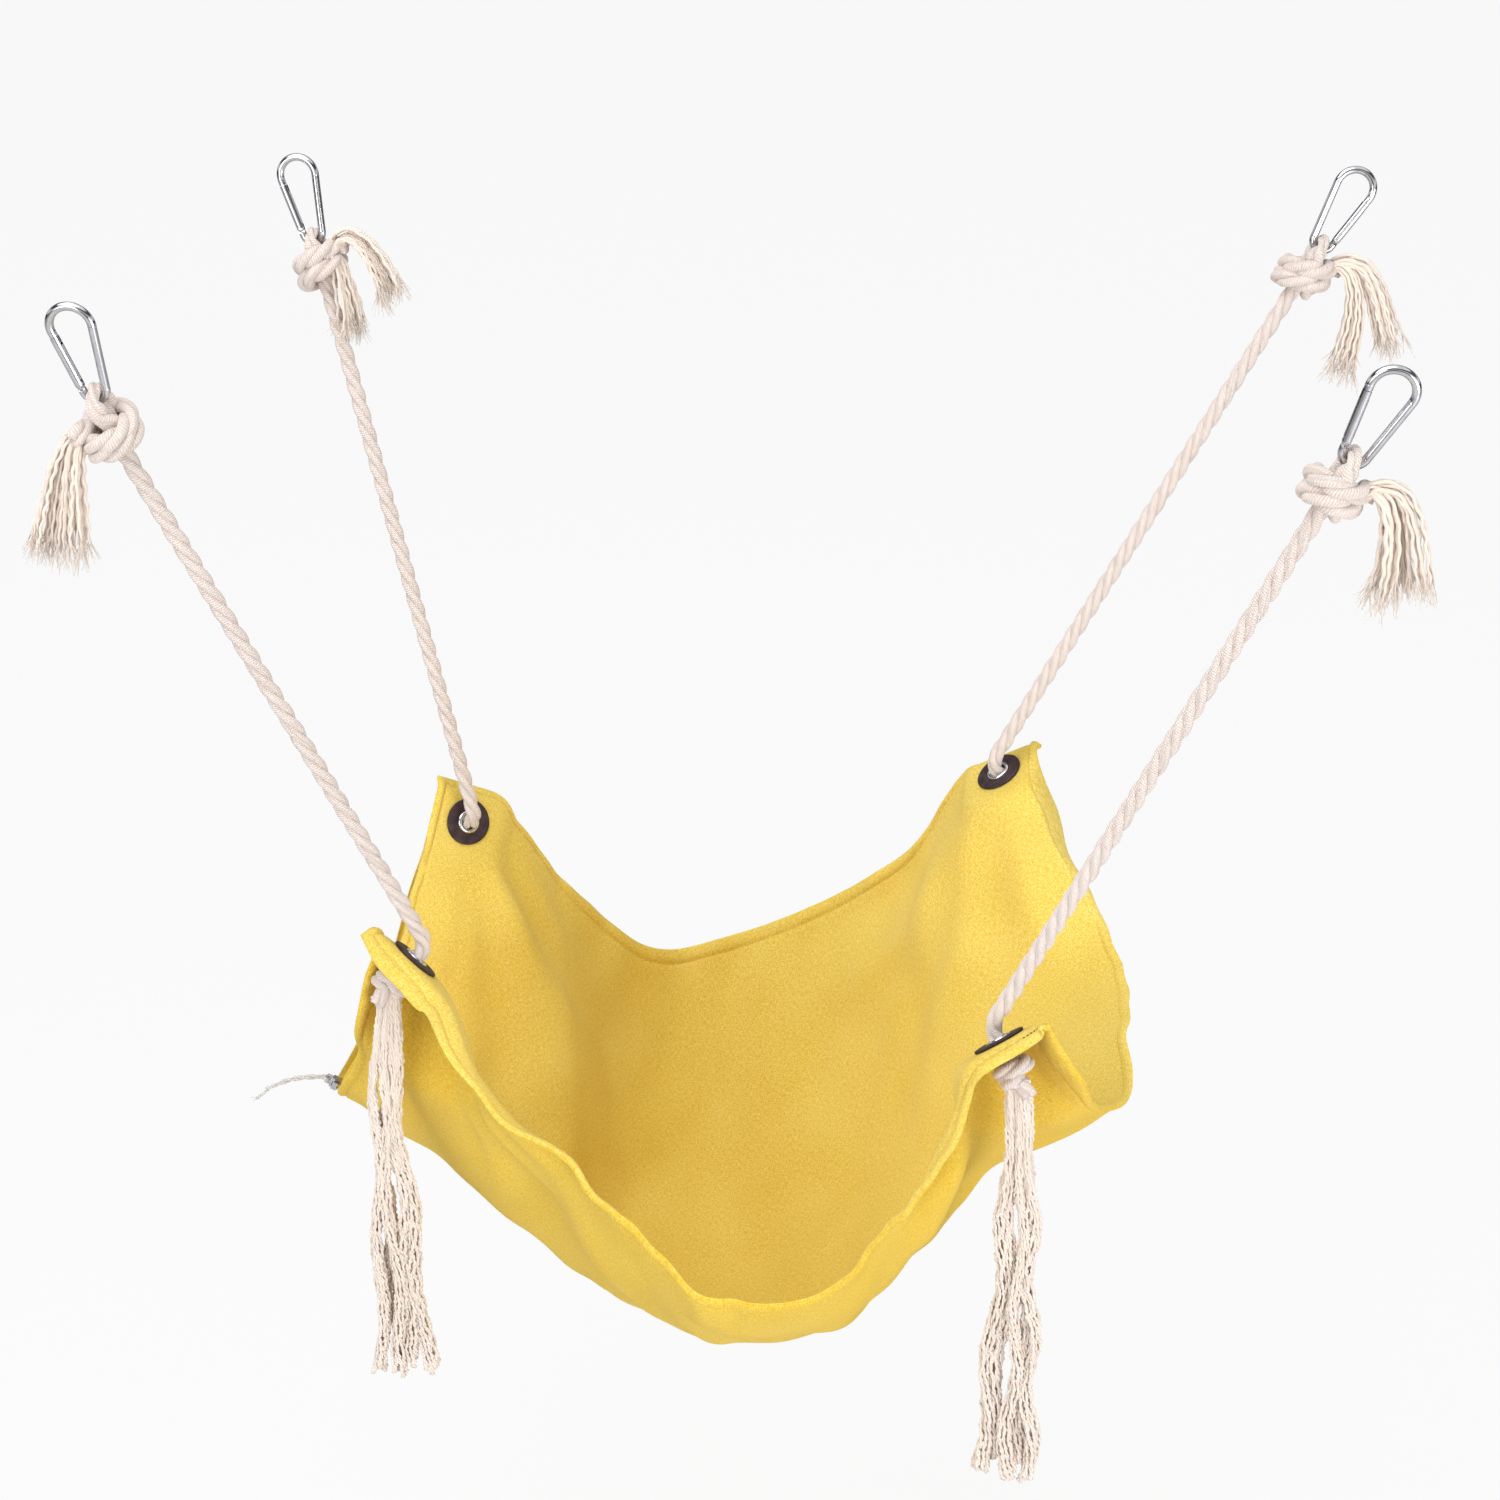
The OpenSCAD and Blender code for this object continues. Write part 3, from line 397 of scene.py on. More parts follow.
top_canvas = canvas("top_canvas", (0.90, 0.72, 0.21), (0.72, 0.47, 0.025))
bottom_canvas = canvas("bottom_canvas", (0.90, 0.66, 0.125), (0.70, 0.42, 0.006))
thread = cotton("sewing_thread", (0.84, 0.56, 0.07), (0.62, 0.36, 0.03), 2.0, 1.0)
black_thread = cotton("black_thread", (0.03, 0.028, 0.025), (0.008, 0.008, 0.008), 2.0, 1.0)
rope_cotton = cotton("rope_cotton", (0.77, 0.69, 0.65), (0.60, 0.485, 0.42), 0.55, 5.0)
yarn_cotton = cotton("yarn_cotton", (0.96, 0.85, 0.77), (0.88, 0.71, 0.59), 0.9, 3.0,
                     Subsurface_Weight=0.5, Subsurface_Radius=(0.004, 0.0037, 0.0034))
white_cord = cotton("white_cord", (0.84, 0.82, 0.78), (0.6, 0.57, 0.52), 1.2, 3.0)
hook_steel = metal("hook_steel", (0.68, 0.68, 0.71), 0.05, 0.16, 160.0)
eyelet_steel = metal("eyelet_steel", (0.86, 0.86, 0.85), 0.1, 0.25, 240.0)
pin_steel = metal("pin_steel", (0.62, 0.62, 0.62), 0.25, 0.4, 300.0)
zip_metal = metal("zip_metal", (0.34, 0.35, 0.37), 0.25, 0.4, 300.0)
ring_leather = leather("ring_leather", (0.06, 0.03, 0.036), (0.022, 0.011, 0.014))


# Cloth: the CAD's surface, with a sewn hem, finer creases and a little unevenness
def loft(s, t):
    s1, t1 = s[..., None], t[..., None]
    drop = BELLY * np.sin(np.pi * s) + BELLY_LEAN * np.sin(math.tau * s)
    drop = drop * np.maximum(np.sin(np.pi * t), 0) ** BELLY_FULL
    a, c, d, b = cloth_corners
    point = (1 - t1) * curve_point(front_edge, s) + t1 * curve_point(rear_edge, s)
    point = point + np.maximum(1 - s1, 0) ** DROOP_FADE * (curve_point(left_edge, t) - (1 - t1) * a - t1 * c)
    point = point + np.maximum(s1, 0) ** DROOP_FADE * (curve_point(right_edge, t) - (1 - t1) * b - t1 * d)
    point[..., 2] -= drop
    return point


def fold_rise(x, y, fold, height, half_w):
    """Rise of a fold that runs between two places, given as shares of the cloth's width and depth."""
    x0, y0, x1, y1 = (share * size for share, size in zip(fold, (CLOTH_W, CLOTH_D) * 2))
    run = np.array([x1 - x0, y1 - y0])
    along = np.clip(((x - x0) * run[0] + (y - y0) * run[1]) / (run @ run), 0, 1)
    off = np.hypot(x - x0 - along * run[0], y - y0 - along * run[1]) / half_w
    return height * 16 * (along * (1 - along)) ** 2 * np.exp(-off * off)


# Slight unevenness: shortest and longest wave, height and count
WAVES = ((75, 130, 0.9, 6), (30, 55, 0.28, 8))
chance = random.Random(7)
waves = [(chance.uniform(0, math.tau), chance.uniform(0, math.tau), chance.uniform(lo, hi), size)
         for lo, hi, size, count in WAVES for _ in range(count)]
# Finer creases on the flat cloth, as shares of its width and depth, with height and half width
CREASES = (
    (0.06, 0.1, 0.2, 0.3, 2.2, 7), (0.09, 0.05, 0.3, 0.07, -1.8, 6), (0.08, 0.08, 0.3, 0.16, -2.0, 8),
    (0.05, 0.13, 0.1, 0.34, -1.6, 6),
    (0.03, 0.92, 0.2, 0.79, 5.0, 9), (0.06, 0.94, 0.28, 0.82, -4.5, 10), (0.09, 0.95, 0.3, 0.9, 2.5, 8),
    (0.06, 0.9, 0.07, 0.66, -1.6, 6),
    (0.98, 0.88, 0.54, 0.9, 8.0, 14), (0.97, 0.96, 0.54, 0.975, -5.0, 10), (0.97, 0.85, 0.66, 0.74, -5.0, 14),
    (0.96, 0.9, 0.93, 0.6, 1.8, 8),
    (0.96, 0.18, 0.74, -0.02, 5.0, 12), (0.92, 0.05, 0.7, 0.05, 1.6, 6), (0.96, 0.1, 0.95, 0.36, -1.6, 7),
    (0.36, 0.03, 0.44, 0.16, 1.4, 7), (0.515, -0.03, 0.515, 0.1, 3.0, 7), (0.48, -0.02, 0.47, 0.12, -2.5, 8),
    (0.5, 0.3, 0.62, 0.6, 1.4, 16), (0.3, 0.45, 0.42, 0.75, -1.4, 16))
# Puckers along the seams: height, run, and how far and over what run the phase drifts
PUCKERS = ((0.55, 4.6, 2, 31), (0.9, 10.3, 1.5, 47))
PUCKER_SHIFTS, PUCKER_DEEP, PUCKER_START = (0, 91, 37, 143), 13, 30


def inward(point):
    return unit((0, 0, -HANG_DROP) - point)


def folded_point(x, y):
    """The cloth as it would hang between its edges alone."""
    point = loft(x / CLOTH_W, y / CLOTH_D)
    rise = np.zeros_like(x)
    for shares, height, half_w in ((FOLD_SHARES, FOLD_H, FOLD_HALF_W), (RIDGE_SHARES, RIDGE_H, RIDGE_HALF_W)):
        for *fold, share in shares:
            rise += fold_rise(x, y, fold, share * height, half_w)
    return point + rise[..., None] * inward(point)


def side_hold(i, x, y):
    """How far an ear holds its outer strip, which falls away at the side hem past the corner."""
    if not FALL_RUNS[i]:
        return np.ones_like(x)
    inset = EYELET_INSET - CORNER_SIGNS[i][0] * (x - ear_places[i][0])
    past = EYELET_INSET - CORNER_SIGNS[i][1] * (y - ear_places[i][1])
    return 1 - (1 - ease(inset / FALL_RUNS[i])) * ease((past - FALL_FROMS[i]) / FALL_OVERS[i])


def hung_point(x, y):
    """The same, with a straight sheet hanging from each ear."""
    base = folded_point(x, y)
    point = base.copy()
    for i, (ex, ey) in enumerate(ear_places):
        off = np.maximum(np.hypot(x - ex, y - ey), 0.01)
        wx, wy = (x - ex) / off, (y - ey) / off
        wide = RIM_MARGIN + np.where(wx > 0, CLOTH_W - ex, ex)
        deep = RIM_MARGIN + np.where(wy > 0, CLOTH_D - ey, ey)
        reach = np.minimum(wide / np.maximum(abs(wx), 0.01), deep / np.maximum(abs(wy), 0.01))
        reach = np.minimum(reach, SHEET_REACHES[i])
        rim = folded_point(ex + reach * wx, ey + reach * wy)
        root = ear_point(i, ROOT_REACH * wx, ROOT_REACH * wy)
        share = np.clip((off - ROOT_REACH) / (reach - ROOT_REACH), 0, 1)
        line = root + share[..., None] * (rim - root)
        weight = side_hold(i, x, y) * (1 - ease((share - STRAIGHT_SHARE) / (1 - STRAIGHT_SHARE)))
        point += weight[..., None] * (line - base)
    return point


def cloth_point(x, y):
    """The finished cloth's middle surface: creased, puckered at its seams and held flat at the eyelets."""
    point = hung_point(x, y)
    rise = np.zeros_like(x)
    for *fold, height, half_w in CREASES:
        rise += fold_rise(x, y, fold, height, half_w)
    for phase, heading, length, size in waves:
        rise += size * np.sin(phase + math.tau / length * (x * math.cos(heading) + y * math.sin(heading)))
    for off, along, shift in zip((y, CLOTH_D - y, x, CLOTH_W - x), (x, x, y, y), PUCKER_SHIFTS):
        along = along + shift
        pucker = sum(height * np.sin(along / run + drift * np.sin(along / slow))
                     for height, run, drift, slow in PUCKERS)
        rise += pucker * np.exp(-((off / PUCKER_DEEP) ** 2)) * ease(along / PUCKER_START)
    point = point + rise[..., None] * inward(point)
    for i, (ex, ey) in enumerate(ear_places):
        inner = (-CORNER_SIGNS[i][0] * (x - ex), -CORNER_SIGNS[i][1] * (y - ey))
        off = np.hypot(*(np.where(way > 0, way, OUTER_SHARE * way) for way in inner))
        weight = (side_hold(i, x, y) * (1 - ease((off - EAR_SEAT) / (EAR_REACHES[i] - EAR_SEAT))))[..., None]
        point = point * (1 - weight) + ear_point(i, x - ex, y - ey) * weight
    return point


# The hem: places in from the cloth's edge, and half its thickness there
HEM_STEPS = (0, 0.35, 0.9, 1.7, 2.6, 3.5, 4.2, 4.7, 5.2, 6.0, 7.4, 9.4)
HEM_HEIGHTS = (0, 0.95, 1.5, 1.95, 2.05, 1.8, 1.2, 0.5, 0.85, 1.2, 1.3, 1.2)
CLOTH_STEP, CLOTH_HOLE_R = 2.6, 5.8


def hem_lines(total):
    """Grid lines across the flat cloth: close at the two hems and even between them."""
    count = int(round((total - 2 * HEM_STEPS[-1]) / CLOTH_STEP))
    middle = np.linspace(HEM_STEPS[-1], total - HEM_STEPS[-1], count + 1)
    return np.concatenate([HEM_STEPS[:-1], middle, total - np.array(HEM_STEPS[-2::-1])])


xs, ys = hem_lines(CLOTH_W), hem_lines(CLOTH_D)
flat_x, flat_y = np.meshgrid(xs, ys)
cloth = cloth_point(flat_x, flat_y)
# The front hem hangs over as a lip beside each front ear: 0 for left or 1 for right, flat places along it
# from that side, the bend there in degrees, the depth that hangs over and how far that is let out
LIPS = ((0, (0, 14, 40, 70, 110, 200), (60, 66, 66, 64, 58, 0), (8.5, 8.5, 8.5, 14, 15, 12),
         (1.0, 1.8, 1.8, 1.15, 1, 1)),
        (1, (0, 20, 40, 70, 100, 160), (60, 60, 60, 52, 42, 0), (8.5, 8.5, 8.5, 11, 11, 10),
         (1, 1.25, 1.25, 1, 1, 1)))
LIP_BEND, LIP_FULL, LIP_ROOT = 6, 15, 2
LIP_SMOOTH = (-8, -4, 0, 4, 8)


def hang_lip(side, places, bends, depths, stretches):
    """Bend one end of the front hem over."""
    along = np.abs(xs - (CLOTH_W if side else 0))
    bend, depth, stretch = (np.mean([np.interp(along + off, places, values) for off in LIP_SMOOTH], axis=0)
                            for values in (bends, depths, stretches))
    line, within = cloth_point(xs, depth), cloth_point(xs, depth + LIP_ROOT)
    out = unit(line - within)
    up = unit(np.cross(np.gradient(line, axis=0), -out))
    for i in np.nonzero(along < places[-1])[0]:
        run = np.arange(0, depth[i] * stretch[i] + BEND_STEP, BEND_STEP)
        angle = math.radians(bend[i]) * ease(run / LIP_BEND)
        for j in np.nonzero(ys < depth[i])[0]:
            reach, drop = bent((depth[i] - ys[j]) * stretch[i], run, angle)
            hung = line[i] + reach * out[i] - drop * up[i]
            cloth[j, i] += ease(bend[i] / LIP_FULL) * (hung - cloth[j, i])


for lip in LIPS:
    hang_lip(*lip)
normals = unit(np.cross(np.gradient(cloth, axis=1), np.gradient(cloth, axis=0)))
edge_off = np.minimum.reduce([flat_x, CLOTH_W - flat_x, flat_y, CLOTH_D - flat_y])
heights = np.interp(edge_off, HEM_STEPS, HEM_HEIGHTS)
eyelet_off = np.minimum.reduce([np.hypot(flat_x - ex, flat_y - ey) for ex, ey in ear_places])
rows, columns = flat_x.shape


def panel(name, sign, material, replaced):
    bag = Bag()
    index = np.arange(rows * columns).reshape(rows, columns)
    offs = [eyelet_off[j:rows - 1 + j, i:columns - 1 + i] for j in (0, 1) for i in (0, 1)]
    quads = np.stack([index[:-1, :-1], index[:-1, 1:], index[1:, 1:], index[1:, :-1]], axis=-1)
    quads = quads[np.minimum.reduce(offs) > CLOTH_HOLE_R]
    bag.add((cloth + sign * heights[..., None] * normals).reshape(-1, 3), quads[:, ::sign].tolist(),
            np.column_stack([flat_x.ravel(), flat_y.ravel()]))
    return add_mesh(name, bag, material, "sling", (replaced,))


top_cloth = panel("top_cloth", 1, top_canvas, "top_panel")
bottom_cloth = panel("bottom_cloth", -1, bottom_canvas, "bottom_panel")


def surface_at(x, y, sign):
    """Points on one face of the cloth, and its normals there, at flat places."""
    i = np.clip(np.searchsorted(xs, x) - 1, 0, columns - 2)
    j = np.clip(np.searchsorted(ys, y) - 1, 0, rows - 2)
    fx = ((x - xs[i]) / (xs[i + 1] - xs[i]))[..., None]
    fy = ((y - ys[j]) / (ys[j + 1] - ys[j]))[..., None]

    def blend(grid):
        return ((1 - fx) * (1 - fy) * grid[j, i] + fx * (1 - fy) * grid[j, i + 1]
                + (1 - fx) * fy * grid[j + 1, i] + fx * fy * grid[j + 1, i + 1])

    face = cloth + sign * heights[..., None] * normals
    return blend(face), sign * blend(normals)


# Stitches: length, gap, radius and lift above the cloth. Black ones show beside the front right ring.
TOP_STITCH, TACK_STITCH = (3.0, 0.8, 0.32, 0.1), (1.5, 0.6, 0.36, 0.25)
STITCH_OFF, STITCH_DIP, STITCH_TAPER = 4.7, 0.3, 2.2
TACK_FROM, TACK_TO = 19, 8


def stitch_run(bag, start, end, sign, length, gap, radius, lift):
    """A row of sewn stitches on the flat cloth from start to end."""
    start, end = np.array(start, float), np.array(end, float)
    total = np.linalg.norm(end - start)
    count = max(1, int(total // (length + gap)))
    direction = (end - start) / total
    for k in range(count):
        at = start + direction * (k + 0.5) * total / count
        v = np.linspace(-0.5, 0.5, 5)
        flat = at + np.outer(v * length, direction)
        points, n = surface_at(flat[:, 0], flat[:, 1], sign)
        points = points + n * (lift - 4 * STITCH_DIP * v**2)[:, None]
        bag.tube(points, radius * (1 - STITCH_TAPER * v**2), 5)


def top_stitching(name, sign):
    bag = Bag()
    a, b, c, d = STITCH_OFF, CLOTH_W - STITCH_OFF, STITCH_OFF, CLOTH_D - STITCH_OFF
    for start, end in (((a, c), (b, c)), ((b, c), (b, d)), ((b, d), (a, d)), ((a, d), (a, c))):
        stitch_run(bag, start, end, sign, *TOP_STITCH)
    return add_mesh(name, bag, thread, "sling")


top_stitches = top_stitching("top_stitches", 1)
bottom_stitches = top_stitching("bottom_stitches", -1)
bag = Bag()
stitch_run(bag, (CLOTH_W - TACK_FROM, STITCH_OFF), (CLOTH_W - TACK_TO, STITCH_OFF), 1, *TACK_STITCH)
add_mesh("tack_stitches", bag, black_thread, "sling")


# Ropes: each goes up through its eyelet, round a bend and straight to its knot
ROPE_PITCH, ROPE_STEP, ROPE_SIDES, ROPE_SHORT = 34, 1.4, 14, 4


def rope_path(i):
    up, aim = ear_axes[i][2], knot_centres[i] - eyelets[i]
    side = unit(aim - (aim @ up) * up)
    ax, az = aim @ side - ROPE_BEND_R, aim @ up - BEND_Z
    turn = math.atan2(ax, az) + math.asin(ROPE_BEND_R / math.hypot(ax, az))
    straight = math.sqrt(ax * ax + az * az - ROPE_BEND_R**2) - ROPE_SHORT
    flat = [(0, z) for z in np.linspace(STOPPER_TOP - STOPPER_H / 3, BEND_Z, 12)]
    flat += [(ROPE_BEND_R * (1 - math.cos(a)), BEND_Z + ROPE_BEND_R * math.sin(a))
             for a in np.linspace(0, turn, 14)[1:]]
    x, z = flat[-1]
    flat += [(x + math.sin(turn) * v, z + math.cos(turn) * v) for v in np.linspace(0, straight, 120)[1:]]
    return even_path([eyelets[i] + x * side + z * up for x, z in flat], ROPE_STEP)


WIRE_Z = HOOK_LOW + WIRE_D / 2
LOOP_R = (NARROW_W - WIRE_D) / 2
LOOP_DEEP, LOOP_SHARE, KNOT_SHARE = 6.3, 0.74, 1.16
KNOT_LOW = KNOT_TOP - KNOT_H + 1
KNOT_EXITS, KNOT_TILTS = (8, 4, 5, 5), (0.4, 2.2, 1.2, 3.6)
STRAP_SHARE, GROW_SHARE, STRAP_TOP = 0.14, 0.4, WIRE_Z - 6
KNOT_STEP, WRAP_STEP, WRAP_OUT, WRAP_UNEVEN, WRAP_TILT = 1.3, 0.55, 1.4, 0.5, 2.4
# Where the rope leaves the knot: past the wraps, then above or below their end
KNOT_LEAVES = ((3.2, 0.5), (7, -0.5))


def upper_knot_path(i):
    """In the hook's frame: up the middle, over the wire, down the front and up in wraps to the tail's root."""
    tail = hook_axes[i] @ np.array(UPPER_TAIL_SHARES[i])
    begin = -math.pi / 2
    total = (math.atan2(tail[1], tail[0]) - begin) % math.tau + 2 * math.tau
    points = [(0, 0.5, KNOT_Z - 8), (0, 2.6, KNOT_Z + 1), (0, LOOP_DEEP - 0.4, STRAP_TOP)]
    points += [(0, LOOP_DEEP * math.cos(a), WIRE_Z + LOOP_R * math.sin(a)) for a in np.linspace(0, math.pi, 8)]
    points += [(0.4, -6.6, WIRE_Z - 4.6)]
    count = int(total / WRAP_STEP)
    radius = (KNOT_D - ROPE_D) / 2 + WRAP_OUT
    for k in range(1, count + 1):
        f = k / count
        a = begin + total * f
        r = radius * (0.5 + 0.5 * ease(f / GROW_SHARE)) + WRAP_UNEVEN * math.sin(2.3 * a + KNOT_TILTS[i])
        strap = (STRAP_TOP - KNOT_LOW) * (1 - ease(f / STRAP_SHARE))
        climb = (KNOT_TOP - KNOT_EXITS[i] - KNOT_LOW) * max(0, f - 0.5 * STRAP_SHARE) / (1 - 0.5 * STRAP_SHARE)
        tilt = WRAP_TILT * ease(f / GROW_SHARE) * math.sin(a + KNOT_TILTS[i])
        points.append((r * math.cos(a), r * math.sin(a), KNOT_LOW + strap + climb + tilt))
    a = begin + total + 0.3
    z = points[-1][2]
    points += [((radius + out) * math.cos(a), (radius + out) * math.sin(a), z + rise)
               for out, rise in KNOT_LEAVES]
    return points


STOPPER_POINTS, STOPPER_TURN = 15, 3.1 * math.pi
STOPPER_IN, STOPPER_EASE, STOPPER_TILT = 4.6, 9.4, 1.2


def stopper_knot_path():
    """In the ear's frame: down through the eyelet, round in wraps and out at the bottom."""
    low = STOPPER_TOP - STOPPER_H
    radius = (STOPPER_D - ROPE_D) / 2
    points = [(0, 0, 0), (0, 0, STOPPER_TOP), (3.0, 0.5, STOPPER_TOP - 3.6)]
    for k in range(1, STOPPER_POINTS + 1):
        f = k / STOPPER_POINTS
        a = 0.3 + f * STOPPER_TURN
        z = STOPPER_TOP - STOPPER_IN - (STOPPER_H - STOPPER_EASE) * f
        z += STOPPER_TILT * f**0.4 * math.sin(a + 0.8)
        points.append((radius * math.cos(a), radius * math.sin(a), z))
    return points + [(-1.5, -1, low + 3), (0, 0, low - 3), (0, 0, low - 7)]


# Locks of yarn in the frayed tails: places from the tail's root
UPPER_LOCKS = (
    (((0, 0, 0), (-6, -1, -3), (-13, -2, -16), (-19, -2, -34), (-24, -2, -52), (-27, -2, -63)),
     ((0, 0, 0), (-3, -2, -5), (-6, -4, -19), (-8, -4, -36), (-10, -4, -53), (-11, -4, -64))),
    (((0, 0, 0), (5, -1, 6), (13, -2, 7), (22, -2, -1), (30, -2, -15), (35, -2, -28)),
     ((-1, -2, -4), (3, -3, -9), (6, -4, -22), (9, -4, -38), (9, -4, -52))),
    (((0, 0, 0), (8, -1, 4), (19, -2, 1), (27, -2, -12), (34, -2, -31), (40, -2, -46)),
     ((0, -1, -1), (7, -2, 1), (14, -4, -9), (16, -4, -28), (14, -4, -46), (11, -4, -62))),
    (((0, 0, 0), (8, -1, 4), (18, -2, 1), (25, -2, -13), (29, -2, -32), (32, -2, -48)),
     ((0, -1, -1), (6, -2, 2), (13, -4, -6), (16, -4, -22), (16, -4, -40), (14, -4, -55))))
UPPER_YARNS, UPPER_SIZES, UPPER_STEP = 22, (0.92, 0.9, 0.9, 0.84), 1.6
UPPER_SPREAD, UPPER_GROW, UPPER_FLAT = 4.0, 8.0, 0.7
UPPER_ENDS, UPPER_TURNS, UPPER_R = (0.84, 1.0), (-0.5, 0.5), (0.75, 1.05)
UPPER_CRIMPS, UPPER_CRIMP_R = (7.5, 11.0), (0.2, 0.5)
FIBRES, FIBRE_R, FIBRE_REACH = 6, 0.36, 1.7
FIBRE_STRAYS = ((-5, 5), (-4, 4), (-7, 1))


def upper_tail(i, root):
    rng = random.Random(40 + i)
    bag = Bag()
    for places in UPPER_LOCKS[i]:
        spine = even_path(root + UPPER_SIZES[i] * np.array(places, float), UPPER_STEP)
        side, deep = transport(spine)
        run = lengths_along(spine)
        for k in range(UPPER_YARNS):
            a, r = rng.uniform(0, math.tau), math.sqrt((k + 0.5) / UPPER_YARNS)
            last = int(len(spine) * rng.uniform(*UPPER_ENDS))
            v = run[:last] / run[-1]
            spread = (UPPER_SPREAD + UPPER_GROW * v) * r
            turn = a + rng.uniform(*UPPER_TURNS) * v
            crimp = math.tau * run[:last] / rng.uniform(*UPPER_CRIMPS) + rng.uniform(0, math.tau)
            size = rng.uniform(*UPPER_CRIMP_R) * np.minimum(1, 4 * v)
            line = spine[:last] + (spread * np.cos(turn) + size * np.sin(crimp))[:, None] * side[:last]
            line = line + (UPPER_FLAT * spread * np.sin(turn) + size * np.cos(crimp))[:, None] * deep[:last]
            thick = rng.uniform(*UPPER_R) * (1 - 0.5 * (v / v[-1]) ** 5)
            bag.tube(line, thick, 6, turn=a)
            # Each yarn's end parts into finer fibres
            for _ in range(FIBRES):
                w = np.linspace(0, 1, 7)
                stray = np.array([rng.uniform(*span) for span in FIBRE_STRAYS])
                tip = line[-5] + (line[-1] - line[-5]) * w[:, None] * FIBRE_REACH + stray * (w**2)[:, None]
                bag.tube(tip, FIBRE_R * (1 - 0.7 * w), 4)
    return bag


# Loose tails: locks of plied yarn side by side below each stopper knot
LOWER_LOCKS, LOCK_YARNS, TAIL_ROOT_W, LOWER_POINTS, LINE_POINTS = 5, 8, 13, 72, 40
LOCK_DEPTHS, LOCK_SWAYS, LOCK_WAVES, LOCK_ENDS = (-0.8, 0.8), (-2.5, 2.5), (70, 110), (0.955, 1.0)
LOCK_R, LOCK_GROW, LOCK_TURNS, LOCK_WAVE_R = 1.9, 2.3, 1.3, 2.2
YARN_D, YARN_PITCHES, YARN_ENDS = (2.3, 2.9), (8, 11), (0.965, 1.0)
YARN_OUTS, YARN_CRIMPS, YARN_CRIMP_R = (0.15, 1), (13, 20), (0.3, 0.7)
FLARE_RUN, FLARE = 0.05, 0.6


def tail_axis(i, v):
    """Points at shares v of a loose tail's middle line: out of the stopper knot, then straight down."""
    up = ear_axes[i][2]
    start = eyelets[i] + (STOPPER_TOP - STOPPER_H + ROPE_D / 2) * up
    out = np.outer(ROPE_D * np.sin(np.pi / 2 * np.minimum(1, 3 * v)), up)
    return start - out + np.outer(v, (0, 0, -LOWER_TAIL_L))


def lower_tail(i):
    rng = random.Random(60 + i)
    bag = Bag()
    for k in range(LOWER_LOCKS):
        share = (k + 0.5) / LOWER_LOCKS * 2 - 1
        depth, sway = rng.uniform(*LOCK_DEPTHS), rng.uniform(*LOCK_SWAYS)
        lock_turn, lock_wave = rng.uniform(0, math.tau), rng.uniform(*LOCK_WAVES)
        lock_end = rng.uniform(*LOCK_ENDS) if k % 2 else 1.0
        for m in range(LOCK_YARNS):
            end = lock_end * (rng.uniform(*YARN_ENDS) if m else 1.0)
            v = np.linspace(0, end, LOWER_POINTS)
            wide = (TAIL_ROOT_W + v * (LOWER_TAIL_W - TAIL_ROOT_W)) / 2
            lock = LOCK_R + LOCK_GROW * v
            a = lock_turn + math.tau * (m / LOCK_YARNS + v * LOCK_TURNS)
            r = lock * math.sqrt(rng.uniform(*YARN_OUTS))
            crimp, phase = math.tau * v * LOWER_TAIL_L / rng.uniform(*YARN_CRIMPS), rng.uniform(0, math.tau)
            size = rng.uniform(*YARN_CRIMP_R) * np.minimum(1, 4 * v)
            wave = np.sin(lock_turn + math.tau * v * LOWER_TAIL_L / lock_wave)
            x = share * (wide - lock) + sway * np.sin(np.pi * v) + r * np.cos(a) + size * np.sin(crimp + phase)
            x += LOCK_WAVE_R * np.minimum(1, 3 * v) * wave
            y = depth * 0.5 * (wide - lock) + r * np.sin(a) + size * np.cos(crimp + phase)
            line = tail_axis(i, v) + np.column_stack([x, y, np.zeros_like(v)])
            flare = 1 + FLARE * np.maximum(0, (v - end + FLARE_RUN) / FLARE_RUN) ** 1.5
            bag.laid(line, rng.uniform(*YARN_D), rng.uniform(*YARN_PITCHES), strands=2, sides=6, phase=phase,
                     width=flare)
    return bag, tail_axis(i, np.linspace(0, 1, LINE_POINTS))


def add_rope(name, path, phase, replaced, width=None):
    bag = Bag()
    bag.laid(path, ROPE_D, ROPE_PITCH, sides=ROPE_SIDES, phase=phase, width=width)
    return add_mesh(name, bag, rope_cotton, "sling", (replaced,))


def add_tail(name, bag, replaced):
    return add_mesh(name, bag, yarn_cotton, "sling", (replaced,))


for i, corner in enumerate(CORNERS):
    path = rope_path(i)
    rope = add_rope("rope_laid_" + corner, path, i, "rope_" + corner)
    local = even_path(upper_knot_path(i), KNOT_STEP)
    width = LOOP_SHARE + (KNOT_SHARE - LOOP_SHARE) * ease((WIRE_Z + 2 - local[:, 2]) / 4)
    knot_line = hooks[i] + local @ hook_axes[i]
    knot = add_rope("hook_knot_" + corner, knot_line, 2 * i, "upper_knot_" + corner, width)
    tail = add_tail("frayed_tail_" + corner, upper_tail(i, knot_line[-7]), "upper_tail_" + corner)
    stopper_line = eyelets[i] + even_path(stopper_knot_path(), KNOT_STEP) @ ear_axes[i]
    stopper = add_rope("eyelet_knot_" + corner, stopper_line, i, "stopper_knot_" + corner)
    bag, tail_line = lower_tail(i)
    loose = add_tail("loose_tail_" + corner, bag, "lower_tail_" + corner)


# Hooks, gates, pins, springs, eyelets and washers keep their CAD shapes
def finish_nodes(names, material):
    for name in names:
        for place in nodes[name].material_slots:
            place.material = material


